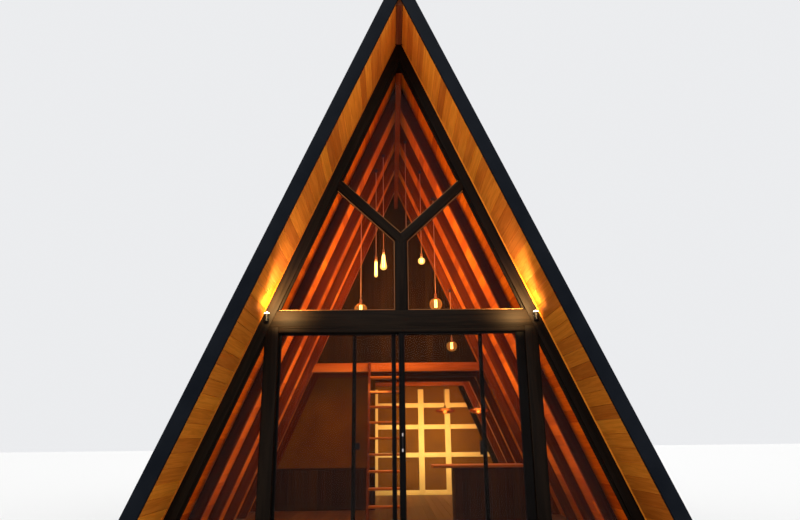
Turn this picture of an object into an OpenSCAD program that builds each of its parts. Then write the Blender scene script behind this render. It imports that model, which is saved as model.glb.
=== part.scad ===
// A-frame cabin: two steep roof planes on rafter frames, a glazed front with a
// Y-shaped glazing frame, sliding glass door, loft with ladder stair.
// X runs across the front, +Y from the glazed front to the back, +Z up.
// The origin is on the ground below the middle of the roof.

/* [Roof] */
// Length of the roof along the ridge
roof_len = 10660; // [9800:20:11600]
// Half the width between the linings at ground level
half_base = 3000; // [2800:50:3300]
// Height above the ground where the two linings would meet
inner_apex = 6950; // [6600:50:7300]
// Distance that the roof runs out past the front and back walls
overhang = 840; // [500:20:1100]
// Thickness of the lining boards
lining_t = 18; // [15:1:24]
// Thickness of the roof panel behind the lining
core_t = 100; // [80:5:110]
// Thickness of the sheet covering with its battens
cover_t = 12; // [8:1:14]
// Height of a standing seam above the sheet
seam_h = 25; // [15:1:25]
// Width of a standing seam
seam_w = 12; // [8:1:20]
// Distance between standing seams
seam_pitch = 500; // [400:10:600]
// Width of a bargeboard, square to the roof slope
barge_w = 160; // [156:1:180]
// Thickness of a bargeboard
barge_t = 40; // [30:1:50]

/* [Ridge] */
// Width of the ridge beam
ridge_w = 80; // [60:2:100]
// Height of the ridge beam's underside below the inner apex
ridge_drop = 110; // [105:1:130]
// Extra depth of the ridge beam between the gable walls
ridge_extra = 340; // [300:10:400]
// Width of one wing of the ridge cap, along the slope
cap_w = 200; // [150:5:260]
// Thickness of the ridge cap
cap_t = 6; // [4:1:10]

/* [Frames] */
// Width of a gable rafter, square to its slope
gable_w = 140; // [120:5:150]
// Depth of the gable frames along the ridge
frame_d = 180; // [176:1:220]
// Width of an inner rafter, square to its slope
rafter_w = 140; // [120:5:160]
// Thickness of an inner rafter along the ridge
rafter_t = 80; // [60:5:100]
// Number of inner rafter frames
rafter_count = 7; // [6:1:8]

/* [Floor] */
// Height of the floor above the ground
floor_h = 300; // [260:10:400]
// Thickness of the floor deck
deck_t = 60; // [40:5:80]
// Width of a ground beam
ground_w = 400; // [300:10:500]
// Thickness of an end skirt
skirt_t = 80; // [60:5:100]

/* [Front wall] */
// Width of a door post
post_w = 150; // [140:5:180]
// Distance that a door post's outer face stands outside the tie beam's end
post_toe = 40; // [30:2:60]
// Height of the tie beam's underside above the floor
tie_z = 2612; // [2600:2:2640]
// Depth of the tie beam
tie_h = 196; // [180:2:240]
// Thickness of the door head below the tie beam
head_h = 64; // [60:1:70]
// Thickness of the door sill
sill_h = 30; // [20:1:40]
// Height above the floor where the two arms meet the kite window
crotch_z = 3790; // [3750:10:3900]
// Angle of an arm above the horizontal
arm_angle = 43.5; // [40:0.5:48]
// Width of an arm
arm_w = 105; // [90:5:150]
// Width of the central post
mid_post_w = 136; // [110:2:180]
// Width of a window frame's bars
bead_w = 20; // [15:1:40]
// Depth of a window frame
bead_d = 70; // [50:2:90]
// Distance of a window frame behind the face of the front frame
bead_set = 40; // [20:2:60]
// Thickness of a double glazed pane
pane_t = 24; // [20:1:28]

/* [Sliding door] */
// Left edge of the sliding leaf, measured from the middle
leaf_left = -36; // [-50:1:-20]
// Thickness of the sliding leaf and of the fixed panel
leaf_t = 42; // [36:1:44]
// Width of the leaf's narrow stile
leaf_slim = 60; // [50:1:70]
// Width of the leaf's wide stile
leaf_wide = 100; // [80:5:120]
// Height of the leaf's top rail
leaf_top = 45; // [40:1:60]
// Height of the leaf's bottom rail
leaf_bottom = 95; // [80:5:120]
// Distance of the leaf behind the face of the front frame
leaf_set = 20; // [16:1:24]
// Running gap between the leaf and the post
run_gap = 6; // [5:0.5:10]
// Width of the fixed panel's closing stile, behind the leaf's narrow stile
meet_w = 60; // [50:1:70]
// Width of the narrow light beside the closing stile
light_w = 44; // [35:1:60]
// Width of the mullion between the narrow light and the wide one
mullion_w = 41; // [35:1:50]
// Width of the fixed panel's outer stile
outer_w = 25; // [20:1:40]
// Space between leaf, fixed panel and screen
track_gap = 14; // [13:1:18]
// Height of a running rail above the sill
rail_h = 6; // [4:1:8]
// Width of a running rail
rail_w = 6; // [4:1:8]
// Depth of a groove in the door head
groove_h = 40; // [38:1:44]

/* [Screen] */
// Left edge of the insect screen, where it stands part way along
screen_left = -597; // [-700:1:-500]
// Width of the insect screen
screen_w = 1574; // [1520:2:1600]
// Thickness of the screen frame
screen_t = 22; // [18:1:24]
// Width of the screen frame's bars
screen_bar = 48; // [40:1:55]

/* [Loft and stair] */
// Height of the loft floor above the cabin floor
loft_z = 2700; // [2650:10:2800]
// Depth of the loft beams
loft_beam_h = 160; // [140:5:180]
// Thickness of the loft deck
loft_deck_t = 30; // [24:1:36]
// Number of the rafter frame that carries the loft's edge beam
loft_frame = 4; // [3:1:5]
// Thickness of the boarded walls inside
wall_t = 60; // [50:5:80]
// Middle of the ladder stair, measured from the middle
stair_x = -230; // [-300:10:-150]
// Width of the ladder stair
stair_w = 640; // [600:10:700]
// Number of treads
tread_count = 9; // [8:1:10]
// Depth of a tread
tread_d = 200; // [160:5:220]
// Thickness of a tread
tread_t = 40; // [30:2:45]
// Horizontal step from tread to tread
tread_going = 95; // [80:5:110]
// Thickness of a stringer
stringer_t = 45; // [40:1:50]
// Depth of the groove that holds a tread
house_d = 15; // [10:1:20]

/* [Kitchen] */
// Space between the rafters and the kitchen unit at the height of its worktop
unit_side = 300; // [250:10:340]
// Width of the kitchen unit
unit_w = 1150; // [1000:10:1200]
// Depth of the kitchen unit
unit_d = 600; // [550:10:650]
// Height of the worktop above the floor
unit_h = 900; // [850:10:950]
// Thickness of the worktop
worktop_t = 40; // [30:1:50]
// Overhang of the worktop past the unit's left end
bar_overhang = 340; // [300:10:400]
// Thickness of a kitchen door
kitchen_door_t = 20; // [16:1:24]
// Number of kitchen doors
kitchen_door_count = 3; // [2:1:4]
// Distance of the kitchen unit behind the face of the front frame
unit_y = 3060; // [2900:10:3200]

/* [Lamps] */
// Number of the rafter frame that carries the hall's lamps
lamp_frame = 2; // [1:1:3]
// Diameter of a lamp's flex
flex_d = 10; // [8:1:12]
// Distance of a flex in front of the frame that carries its hook
hang_out = 30; // [25:1:40]
// Radius of a large globe
globe_r = 100; // [85:1:105]
// Radius of a small globe
small_globe_r = 57; // [50:1:65]
// Radius of a tube bulb
tube_r = 28; // [24:1:32]
// Radius of the pear bulb
pear_r = 55; // [45:1:60]
// Length of a tube bulb and of the pear bulb
long_bulb_h = 290; // [270:5:310]
// Width of a low lamp's glass shade
shade_w = 360; // [320:10:400]
// Height of a low lamp's glass shade
shade_h = 104; // [96:2:120]
// Wall of a glass shade
shade_t = 4; // [3:0.5:5]

/* [Hidden] */

$fn = 48;
// Hairline left where a piece meets a sloping face
fit = 0.05;
front_y = -roof_len / 2;
back_y = roof_len / 2;
half_apex = atan(half_base / inner_apex);
slope = tan(half_apex);
face_y = front_y + overhang;
inner_y = face_y + frame_d;
ridge_z = inner_apex - ridge_drop;
board_z = ridge_z - ridge_extra;
tie_low = floor_h + tie_z;
tie_top = tie_low + tie_h;
head_low = tie_low - head_h;
sill_top = floor_h + sill_h;
crotch = floor_h + crotch_z;
arm_rise = tan(arm_angle);
arm_under = crotch - arm_w / cos(arm_angle);
loft_top = floor_h + loft_z;
loft_low = loft_top - loft_beam_h;
cover_o = lining_t + core_t;
skin_o = cover_o + cover_t;

// Distance from the middle of a line that lies o outside the lining, at height z
function edge_x(o, z) = (inner_apex + o / sin(half_apex) - z) * slope;

// Height of a line that lies o outside the lining, at distance x from the middle
function edge_z(o, x) = inner_apex + o / sin(half_apex) - x / slope;

gable_in = -gable_w - fit;
rafter_in = -rafter_w - fit;
post_out = round(edge_x(gable_in, tie_low) + post_toe);
opening_half = post_out - post_w;

// Where the line through a and b meets the line through c and d
function meet(a, b, c, d) =
    let (u = b - a, v = d - c, w = c - a,
         k = (w[0] * v[1] - w[1] * v[0]) / (u[0] * v[1] - u[1] * v[0]))
    a + k * u;

// A convex outline, drawn anticlockwise, moved in by w on every side
function inset(pts, w) =
    let (n = len(pts),
         side = [for (i = [0 : n - 1])
             let (a = pts[i], b = pts[(i + 1) % n], u = (b - a) / norm(b - a), q = [-u[1], u[0]] * w)
             [a + q, b + q]])
    [for (i = [0 : n - 1])
        let (p = side[(i + n - 1) % n], q = side[i])
        meet(p[0], p[1], q[0], q[1])];

// The same outline on the left of the middle, still anticlockwise
function flip(pts) = [for (i = [len(pts) - 1 : -1 : 0]) [-pts[i][0], pts[i][1]]];

// An outline in the XZ plane, drawn out along Y
module across(pts, y, depth) {
    translate([0, y + depth, 0])
        rotate([90, 0, 0])
            linear_extrude(depth)
                polygon(pts);
}

// An outline in the YZ plane, drawn out along X
module along(pts, x, width) {
    translate([x, 0, 0])
        rotate([90, 0, 90])
            linear_extrude(width)
                polygon(pts);
}

// Outline between two lines beside the lining, from height z to distance x from the middle
function rake(low, high, z, x) = [
    [edge_x(low, z), z], [edge_x(high, z), z], [x, edge_z(high, x)], [x, edge_z(low, x)]];

module left_side() {
    mirror([1, 0, 0]) children();
}

module box(x, y, z, size) {
    translate([x, y, z]) cube(size);
}

// Ground: side beams, end skirts and the deck they carry

beam_top = floor_h - deck_t;

module ground_beam() {
    outline = [[edge_x(0, 0) - ground_w, 0], [edge_x(0, 0), 0],
        [edge_x(0, beam_top), beam_top], [edge_x(0, 0) - ground_w, beam_top]];
    across(outline, front_y + barge_t, roof_len - 2 * barge_t);
}

module ground_beams() {
    color("dimgray") {
        ground_beam();
        left_side() ground_beam();
    }
}

module end_skirts() {
    half = edge_x(0, 0) - ground_w;
    color("dimgray")
        for (y = [front_y + barge_t, back_y - barge_t - skirt_t])
            box(-half, y, 0, [2 * half, skirt_t, beam_top]);
}

module floor_deck() {
    outline = [[-edge_x(0, beam_top), beam_top], [edge_x(0, beam_top), beam_top],
        [edge_x(0, floor_h), floor_h], [-edge_x(0, floor_h), floor_h]];
    color("peru") across(outline, front_y + barge_t, roof_len - 2 * barge_t);
}

// Roof: lining, panel and sheet on each side, closed by bargeboards at the ends

module roof_layer(low, high, x) {
    across(rake(low, high, 0, x), front_y + barge_t, roof_len - 2 * barge_t);
}

module roof_panel_right() {
    color("tan") roof_layer(lining_t, cover_o, 0);
}

module roof_panel_left() {
    left_side() roof_panel_right();
}

module lining_right() {
    color("darkorange") roof_layer(0, lining_t, ridge_w / 2);
}

module lining_left() {
    left_side() lining_right();
}

module roof_cover_right() {
    span = roof_len - 2 * barge_t - seam_w;
    count = round(span / seam_pitch);
    color("dimgray") {
        roof_layer(cover_o, skin_o, 0);
        for (i = [0 : count])
            across(rake(skin_o, skin_o + seam_h, 0, cap_w / 2),
                front_y + barge_t + i * span / count, seam_w);
    }
}

module roof_cover_left() {
    left_side() roof_cover_right();
}

cap_o = barge_w + fit;

module ridge_cap() {
    reach = cap_w * sin(half_apex);
    outline = [
        [0, edge_z(cap_o, 0)], [reach, edge_z(cap_o, reach)],
        [reach, edge_z(cap_o + cap_t, reach)], [0, edge_z(cap_o + cap_t, 0)],
        [-reach, edge_z(cap_o + cap_t, reach)], [-reach, edge_z(cap_o, reach)]];
    color("dimgray") across(outline, front_y, roof_len);
}

module ridge_beam() {
    half = ridge_w / 2;
    roof_side = edge_z(lining_t, half);
    outline = [[-half, ridge_z], [half, ridge_z], [half, roof_side],
        [0, edge_z(lining_t, 0)], [-half, roof_side]];
    color("saddlebrown") {
        across(outline, front_y + barge_t, roof_len - 2 * barge_t);
        box(-half, inner_y, board_z, [ridge_w, -2 * inner_y, ridge_extra]);
    }
}

module bargeboard() {
    across(rake(0, barge_w, 0, 0), front_y, barge_t);
    across(rake(0, barge_w, 0, 0), back_y - barge_t, barge_t);
}

module bargeboards_right() {
    color("darkslategray") bargeboard();
}

module bargeboards_left() {
    left_side() bargeboards_right();
}

// Frames: inner rafters against the ridge beam, gable rafters round its ends

rafter_pitch = (-2 * face_y - frame_d) / (rafter_count + 1);

function frame_y(i) = face_y + i * rafter_pitch;

module rafters_right() {
    color("sienna")
        for (i = [1 : rafter_count])
            across(rake(-rafter_w, 0, floor_h, ridge_w / 2), frame_y(i), rafter_t);
}

module rafters_left() {
    left_side() rafters_right();
}

module gable_rafters_right() {
    half = ridge_w / 2;
    outline = [[edge_x(-gable_w, floor_h), floor_h], [edge_x(0, floor_h), floor_h],
        [half, edge_z(0, half)], [half, ridge_z], [0, ridge_z], [0, edge_z(-gable_w, 0)]];
    color([0.1, 0.1, 0.1]) {
        across(outline, face_y, frame_d);
        across(outline, -face_y - frame_d, frame_d);
    }
}

module gable_rafters_left() {
    left_side() gable_rafters_right();
}

module tie_beams() {
    outline = [[-edge_x(gable_in, tie_low), tie_low], [edge_x(gable_in, tie_low), tie_low],
        [edge_x(gable_in, tie_top), tie_top], [-edge_x(gable_in, tie_top), tie_top]];
    color([0.1, 0.1, 0.1]) {
        across(outline, face_y, frame_d);
        across(outline, -face_y - frame_d, frame_d);
    }
}

// Front wall: Y-shaped glazing frame above the tie beam, posts below it

arm_top = [0, crotch];
arm_top_end = meet(arm_top, arm_top + [1, arm_rise], [edge_x(gable_in, 0), 0], [0, edge_z(gable_in, 0)]);
arm_low = [0, arm_under];
arm_low_end = meet(arm_low, arm_low + [1, arm_rise], [edge_x(gable_in, 0), 0], [0, edge_z(gable_in, 0)]);
mid_half = mid_post_w / 2;
mid_side = arm_under + mid_half * arm_rise;

module arm_right() {
    color([0.1, 0.1, 0.1]) across([arm_low, arm_low_end, arm_top_end, arm_top], face_y, frame_d);
}

module arm_left() {
    left_side() arm_right();
}

module central_post() {
    side = mid_side - fit;
    outline = [[-mid_half, tie_top], [mid_half, tie_top], [mid_half, side],
        arm_low - [0, fit], [-mid_half, side]];
    color([0.1, 0.1, 0.1]) across(outline, face_y, frame_d);
}

post_cut = edge_z(gable_in, post_out);

module door_post_right() {
    outline = [[opening_half, floor_h], [post_out, floor_h], [post_out, post_cut],
        [edge_x(gable_in, tie_low), tie_low], [opening_half, tie_low]];
    color([0.1, 0.1, 0.1]) across(outline, face_y, frame_d);
}

module door_post_left() {
    left_side() door_post_right();
}

// Window openings, as anticlockwise outlines
kite = [arm_top, arm_top_end, [0, edge_z(gable_in, 0)], [-arm_top_end[0], arm_top_end[1]]];
lower_right = [[mid_half, tie_top], [edge_x(gable_in, tie_top), tie_top], arm_low_end, [mid_half, mid_side]];
side_right = [[post_out, floor_h], [edge_x(gable_in, floor_h), floor_h], [post_out, post_cut]];
frame_set = face_y + bead_set;
pane_set = frame_set + (bead_d - pane_t) / 2;

module window_frame(pts) {
    outer = inset(pts, fit);
    inner = inset(pts, bead_w);
    color([0.15, 0.15, 0.15])
        translate([0, frame_set + bead_d, 0])
            rotate([90, 0, 0])
                linear_extrude(bead_d)
                    difference() {
                        polygon(outer);
                        polygon(inner);
                    }
}

module kite_window_frame() {
    window_frame(kite);
}

module lower_window_frames() {
    window_frame(lower_right);
    window_frame(flip(lower_right));
}

module side_window_frames() {
    window_frame(side_right);
    window_frame(flip(side_right));
}

module window_panes() {
    color([0.6, 0.75, 0.8, 0.4])
        for (pts = [kite, lower_right, flip(lower_right), side_right, flip(side_right)])
            across(inset(pts, bead_w), pane_set, pane_t);
}

// Doors: three parallel tracks between head and sill

leaf_right = opening_half - run_gap;
leaf_y = face_y + leaf_set;
fixed_y = leaf_y + leaf_t + track_gap;
screen_y = fixed_y + leaf_t + track_gap;
rail_gap = 8;
leaf_play = 15;
leaf_low = sill_top + rail_h + rail_gap;
leaf_high = head_low + groove_h - leaf_play;
fixed_high = head_low + groove_h;
wheel_gap = 0.3;
wheel_r = 16;
wheel_w = 12;
pocket_w = 20;
pocket_l = 48;
pocket_h = 36;
axle_r = 5;
screen_wheel_r = 12;
screen_wheel_w = 6;
screen_pocket_w = 12;
screen_pocket_l = 36;
screen_pocket_h = 28;
wheel_in = 200;

module door_head() {
    color([0.12, 0.12, 0.12])
        box(-opening_half, face_y, head_low + groove_h, [2 * opening_half, frame_d, head_h - groove_h]);
}

// Strips below the head, with a groove for each track between them
module door_guides() {
    edges = [face_y, leaf_y - run_gap, leaf_y + leaf_t + run_gap, fixed_y,
        fixed_y + leaf_t, screen_y - run_gap, screen_y + screen_t + run_gap, face_y + frame_d];
    color([0.12, 0.12, 0.12])
        for (i = [0 : 2 : 6])
            box(-opening_half, edges[i], head_low, [2 * opening_half, edges[i + 1] - edges[i], groove_h]);
}

module door_sill() {
    color([0.2, 0.2, 0.2])
        box(-opening_half, face_y, floor_h, [2 * opening_half, frame_d, sill_h]);
}

module door_rails() {
    color("silver")
        for (y = [leaf_y + leaf_t / 2, screen_y + screen_t / 2])
            box(-opening_half, y - rail_w / 2, sill_top, [2 * opening_half, rail_w, rail_h]);
}

// A rectangular frame in the XZ plane with its own bar on each side
module door_frame(x0, x1, z0, z1, bars, y, depth) {
    light_size = [x1 - x0 - bars[0] - bars[1], depth + 2, z1 - z0 - bars[2] - bars[3]];
    difference() {
        box(x0, y, z0, [x1 - x0, depth, z1 - z0]);
        box(x0 + bars[0], y - 1, z0 + bars[2], light_size);
    }
}

fixed_right = leaf_left + leaf_slim;
fixed_bottom = leaf_low + leaf_bottom - sill_top;
fixed_top = fixed_high - leaf_high + leaf_top;
fixed_light_h = fixed_high - sill_top - fixed_bottom - fixed_top;
light_x = fixed_right - meet_w - light_w;
mullion_x = light_x - mullion_w;

module fixed_door_frame() {
    color([0.12, 0.12, 0.12]) {
        door_frame(-opening_half, fixed_right, sill_top, fixed_high,
            [outer_w, meet_w, fixed_bottom, fixed_top], fixed_y, leaf_t);
        box(mullion_x, fixed_y, sill_top, [mullion_w, leaf_t, fixed_high - sill_top]);
    }
}

module fixed_door_pane() {
    wide_x = -opening_half + outer_w;
    color([0.6, 0.75, 0.8, 0.4])
        for (span = [[wide_x, mullion_x - wide_x], [light_x, light_w]])
            box(span[0], fixed_y + (leaf_t - pane_t) / 2, sill_top + fixed_bottom,
                [span[1], pane_t, fixed_light_h]);
}

module sliding_door_frame() {
    color([0.12, 0.12, 0.12])
        difference() {
            door_frame(leaf_left, leaf_right, leaf_low, leaf_high,
                [leaf_slim, leaf_wide, leaf_bottom, leaf_top], leaf_y, leaf_t);
            for (x = [leaf_left + wheel_in, leaf_right - wheel_in])
                box(x - pocket_l / 2, leaf_y + (leaf_t - pocket_w) / 2, leaf_low - 1,
                    [pocket_l, pocket_w, pocket_h + 1]);
        }
}

module sliding_door_pane() {
    pane_w = leaf_right - leaf_left - leaf_slim - leaf_wide;
    pane_h = leaf_high - leaf_low - leaf_bottom - leaf_top;
    color([0.6, 0.75, 0.8, 0.4])
        box(leaf_left + leaf_slim, leaf_y + (leaf_t - pane_t) / 2, leaf_low + leaf_bottom,
            [pane_w, pane_t, pane_h]);
}

// A grooveless wheel on its axle, standing on a rail
module track_wheel(x, y, r, w, pocket) {
    translate([x, y, sill_top + rail_h + wheel_gap + r])
        rotate([90, 0, 0]) {
            cylinder(r = r, h = w, center = true);
            cylinder(r = axle_r, h = pocket, center = true);
        }
}

pull_low = 1168;
pull_z = floor_h + pull_low;
pull_h = 208;
pull_r = 9;
pull_arm_r = 7;
pull_arm_in = 25;
pull_out = 45;
pull_x = leaf_left + leaf_slim / 2;

module sliding_door_fittings() {
    color("silver") {
        for (x = [leaf_left + wheel_in, leaf_right - wheel_in])
            track_wheel(x, leaf_y + leaf_t / 2, wheel_r, wheel_w, pocket_w);
        translate([pull_x, leaf_y - pull_out, pull_z]) cylinder(r = pull_r, h = pull_h);
        for (z = [pull_z + pull_arm_in, pull_z + pull_h - pull_arm_in])
            translate([pull_x, leaf_y - pull_out, z])
                rotate([-90, 0, 0]) cylinder(r = pull_arm_r, h = pull_out);
    }
}

screen_right = screen_left + screen_w;

module screen_frame() {
    color([0.12, 0.12, 0.12])
        difference() {
            door_frame(screen_left, screen_right, leaf_low, leaf_high,
                [screen_bar, screen_bar, screen_bar, screen_bar], screen_y, screen_t);
            for (x = [screen_left + wheel_in, screen_right - wheel_in])
                box(x - screen_pocket_l / 2, screen_y + (screen_t - screen_pocket_w) / 2, leaf_low - 1,
                    [screen_pocket_l, screen_pocket_w, screen_pocket_h + 1]);
        }
}

mesh_t = 3;

module screen_mesh() {
    color([0.3, 0.3, 0.3, 0.5])
        box(screen_left + screen_bar, screen_y + (screen_t - mesh_t) / 2, leaf_low + screen_bar,
            [screen_w - 2 * screen_bar, mesh_t, leaf_high - leaf_low - 2 * screen_bar]);
}

latch_t = 18;
latch_w = 57;
latch_low = 1195;
latch_h = 77;
latch_lap = 10;
grip_low = 1125;
grip_h = 164;
grip_w = 50;
grip_lap = 20;

module screen_fittings() {
    color([0.08, 0.08, 0.08]) {
        for (x = [screen_left + wheel_in, screen_right - wheel_in])
            track_wheel(x, screen_y + screen_t / 2, screen_wheel_r, screen_wheel_w, screen_pocket_w);
        box(screen_left + screen_bar - latch_lap, screen_y + screen_t, floor_h + latch_low,
            [latch_w, latch_t, latch_h]);
        box(screen_right - screen_bar - grip_w + grip_lap, screen_y + screen_t, floor_h + grip_low,
            [grip_w, latch_t, grip_h]);
    }
}

// Back wall: infill round the tie beam, with a timber grid on the room side

back_t = 110;
back_set = -inner_y;
lower_back = [[-edge_x(gable_in, floor_h), floor_h], [edge_x(gable_in, floor_h), floor_h],
    [edge_x(gable_in, tie_low), tie_low], [-edge_x(gable_in, tie_low), tie_low]];
upper_back = [[-edge_x(gable_in, tie_top), tie_top], [edge_x(gable_in, tie_top), tie_top],
    [0, edge_z(gable_in, 0)]];

module back_wall() {
    color("saddlebrown") {
        across(lower_back, back_set, back_t);
        across(upper_back, back_set, back_t);
    }
}

grid_t = 40;
grid_post = 140;
grid_rail = 110;
grid_posts = [-600, 560, 1230];
grid_rails = [0, 880, 1555, 2085];
grid_top = loft_low - floor_h;

// An outline on the room side of the lower back wall, kept inside the gable rafters
module on_back_wall(x0, x1, z0, z1) {
    right = x1 == undef ? [edge_x(gable_in, floor_h + z0), edge_x(gable_in, floor_h + z1)] : [x1, x1];
    outline = [[x0, floor_h + z0], [right[0], floor_h + z0], [right[1], floor_h + z1], [x0, floor_h + z1]];
    across(outline, back_set - grid_t, grid_t);
}

module back_wall_posts() {
    color("wheat") for (x = grid_posts) on_back_wall(x, x + grid_post, 0, grid_top);
}

module back_wall_rails() {
    color("wheat")
        for (i = [0 : 2], z = grid_rails)
            on_back_wall(grid_posts[i] + grid_post, grid_posts[i + 1], z, z + grid_rail);
}

// Loft: beams between the rafters, deck, and the boarded wall that closes the room behind

function between_rafters(z0, z1) = [
    [-edge_x(rafter_in, z0), z0], [edge_x(rafter_in, z0), z0],
    [edge_x(rafter_in, z1), z1], [-edge_x(rafter_in, z1), z1]];

loft_front = frame_y(loft_frame);

module loft_edge_beam() {
    color("sienna") across(between_rafters(loft_low, loft_top), loft_front, rafter_t);
}

module loft_joists() {
    color("sienna")
        for (i = [loft_frame + 1 : rafter_count])
            across(between_rafters(loft_low, loft_top - loft_deck_t), frame_y(i), rafter_t);
}

module loft_deck() {
    y = loft_front + rafter_t;
    color("peru") across(between_rafters(loft_top - loft_deck_t, loft_top), y, back_set - y);
}

loft_wall_y = frame_y(loft_frame + 1) - wall_t;

module loft_wall() {
    half = ridge_w / 2;
    outline = [[-edge_x(-fit, loft_top), loft_top], [edge_x(-fit, loft_top), loft_top],
        [half, edge_z(-fit, half)], [half, board_z], [-half, board_z], [-half, edge_z(-fit, half)]];
    color([0.25, 0.15, 0.1]) across(outline, loft_wall_y, wall_t);
}

partition_end = -450;

module lower_partition() {
    outline = [[-edge_x(rafter_in, floor_h), floor_h], [partition_end, floor_h],
        [partition_end, loft_low], [-edge_x(rafter_in, loft_low), loft_low]];
    color("goldenrod") across(outline, frame_y(loft_frame + 1), wall_t);
}

// Stair: treads housed in grooves of two slanting stringers

riser = loft_z / (tread_count + 1);
stair_lean = atan(tread_going / riser);
stringer_w = tread_d * 0.8;

tread_back = 60;

function tread_y(k) = loft_front - (tread_count + 1 - k) * tread_going - tread_d + tread_back;

module stringer(x) {
    foot = tread_y(0) + tread_d / 2;
    head = tread_y(tread_count + 1) + tread_d / 2;
    reach = stringer_w / 2 / cos(stair_lean);
    top = loft_top - (head + reach - loft_front) * riser / tread_going;
    outline = [[foot - reach, floor_h], [foot + reach, floor_h], [loft_front, top],
        [loft_front, loft_top], [head - reach, loft_top]];
    along(outline, x, stringer_t);
}

module tread(k) {
    z = floor_h + k * riser - tread_t;
    x = stair_x - stair_w / 2 + stringer_t - house_d;
    box(x, tread_y(k), z, [stair_w - 2 * stringer_t + 2 * house_d, tread_d, tread_t]);
}

module stair_stringers() {
    color("sienna")
        difference() {
            union() {
                stringer(stair_x - stair_w / 2);
                stringer(stair_x + stair_w / 2 - stringer_t);
            }
            for (k = [1 : tread_count]) tread(k);
        }
}

module stair_treads() {
    color("peru") for (k = [1 : tread_count]) tread(k);
}

// Kitchen unit: closed towards the front, doors on the back, and a worktop that overhangs as a bar

top_lip = 20;
kick_h = 90;
kick_set = 50;
door_gap = 3;
unit_x = edge_x(rafter_in, floor_h + unit_h) - unit_side - unit_w;
unit_front = face_y + unit_y;
unit_back = unit_front + unit_d - kitchen_door_t;
unit_top = floor_h + unit_h - worktop_t;

module kitchen_unit() {
    kick_back = unit_back - kick_set;
    kick_top = floor_h + kick_h;
    outline = [[unit_front, floor_h], [kick_back, floor_h], [kick_back, kick_top],
        [unit_back, kick_top], [unit_back, unit_top], [unit_front, unit_top]];
    color([0.3, 0.2, 0.15]) along(outline, unit_x, unit_w);
}

module kitchen_doors() {
    pitch = unit_w / kitchen_door_count;
    color([0.3, 0.2, 0.15])
        for (i = [0 : kitchen_door_count - 1])
            box(unit_x + i * pitch + door_gap, unit_back, floor_h + kick_h,
                [pitch - 2 * door_gap, kitchen_door_t, unit_top - door_gap - floor_h - kick_h]);
}

module kitchen_worktop() {
    color("burlywood")
        box(unit_x - bar_overhang, unit_front - top_lip, unit_top,
            [unit_w + bar_overhang + top_lip, unit_d + 2 * top_lip, worktop_t]);
}

// Spotlights on the ends of the tie beam

spot_lift = 60;
spot_z = tie_low + spot_lift;
spot_r = 32;
spot_h = 110;
spot_out = 50;
spot_arm_r = 14;
spot_x = edge_x(-gable_w / 2, spot_z + spot_h / 2);

module spotlights() {
    color([0.08, 0.08, 0.08])
        for (side = [-1, 1]) {
            translate([side * spot_x, face_y - spot_out, spot_z]) cylinder(r = spot_r, h = spot_h);
            translate([side * spot_x, face_y - spot_out, spot_z + spot_h / 2])
                rotate([-90, 0, 0]) cylinder(r = spot_arm_r, h = spot_out);
        }
}

// Lamps: each hangs on its own flex, from a hook on a rafter's front face or from the loft's edge beam

hook_r = 30;
hook_t = 12;
hook_arm_r = 7;
grip_r = 12;
grip_up = 12;
grip_down = 40;
rose_r = 36;
rose_h = 15;
flex_sides = 8;

// Lamps on rafters: distance from the middle, number of the frame, kind of bulb, and the
// heights of the flex's points below its upper end
rafter_lamps = [
    [-600, lamp_frame, "globe", [0, -200, -420, -640, -870, -1110, -1350, -1590]],
    [-360, lamp_frame, "tube", [0, -200, -400, -610, -820, -1030, -1240, -1450]],
    [-240, lamp_frame, "pear", [0, -220, -440, -670, -900, -1130, -1370, -1610]],
    [130, lamp_frame, "tube", [0, -220, -440, -660, -890, -1120, -1350, -1580]],
    [370, lamp_frame, "small globe", [0, -190, -380, -570, -770, -970, -1170, -1380]],
    [580, lamp_frame, "globe", [0, -220, -440, -660, -880, -1100, -1330, -1560]],
    [1030, loft_frame, "globe", [0, -120, -240, -360, -480, -600, -730, -860]]];

// Lamps below the loft's edge beam: distance from the middle, and the heights of the flex's points
beam_lamps = [
    [870, [0, -80, -160, -250, -340, -430, -510, -600]],
    [1490, [0, -80, -160, -250, -340, -430, -510, -600]]];

function hook_z(lamp) = edge_z(-rafter_w / 2, abs(lamp[0]));

// Upper end of a flex
function hung_from_rafter(lamp) = [lamp[0], frame_y(lamp[1]) - hang_out, hook_z(lamp) - grip_down];
function hung_from_beam(lamp) = [lamp[0], loft_front + rafter_t / 2, loft_low - rose_h];

// Lower end of a flex
function flex_end(top, drops) = top + [0, 0, drops[len(drops) - 1]];

module lamp_hooks() {
    color([0.08, 0.08, 0.08]) {
        for (lamp = rafter_lamps) {
            top = hung_from_rafter(lamp);
            z = hook_z(lamp);
            translate([top[0], top[1] + hang_out - hook_t, z])
                rotate([-90, 0, 0]) cylinder(r = hook_r, h = hook_t);
            translate([top[0], top[1], z])
                rotate([-90, 0, 0]) cylinder(r = hook_arm_r, h = hang_out);
            translate(top) cylinder(r = grip_r, h = grip_down + grip_up);
        }
        for (lamp = beam_lamps) translate(hung_from_beam(lamp)) cylinder(r = rose_r, h = rose_h);
    }
}

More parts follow.
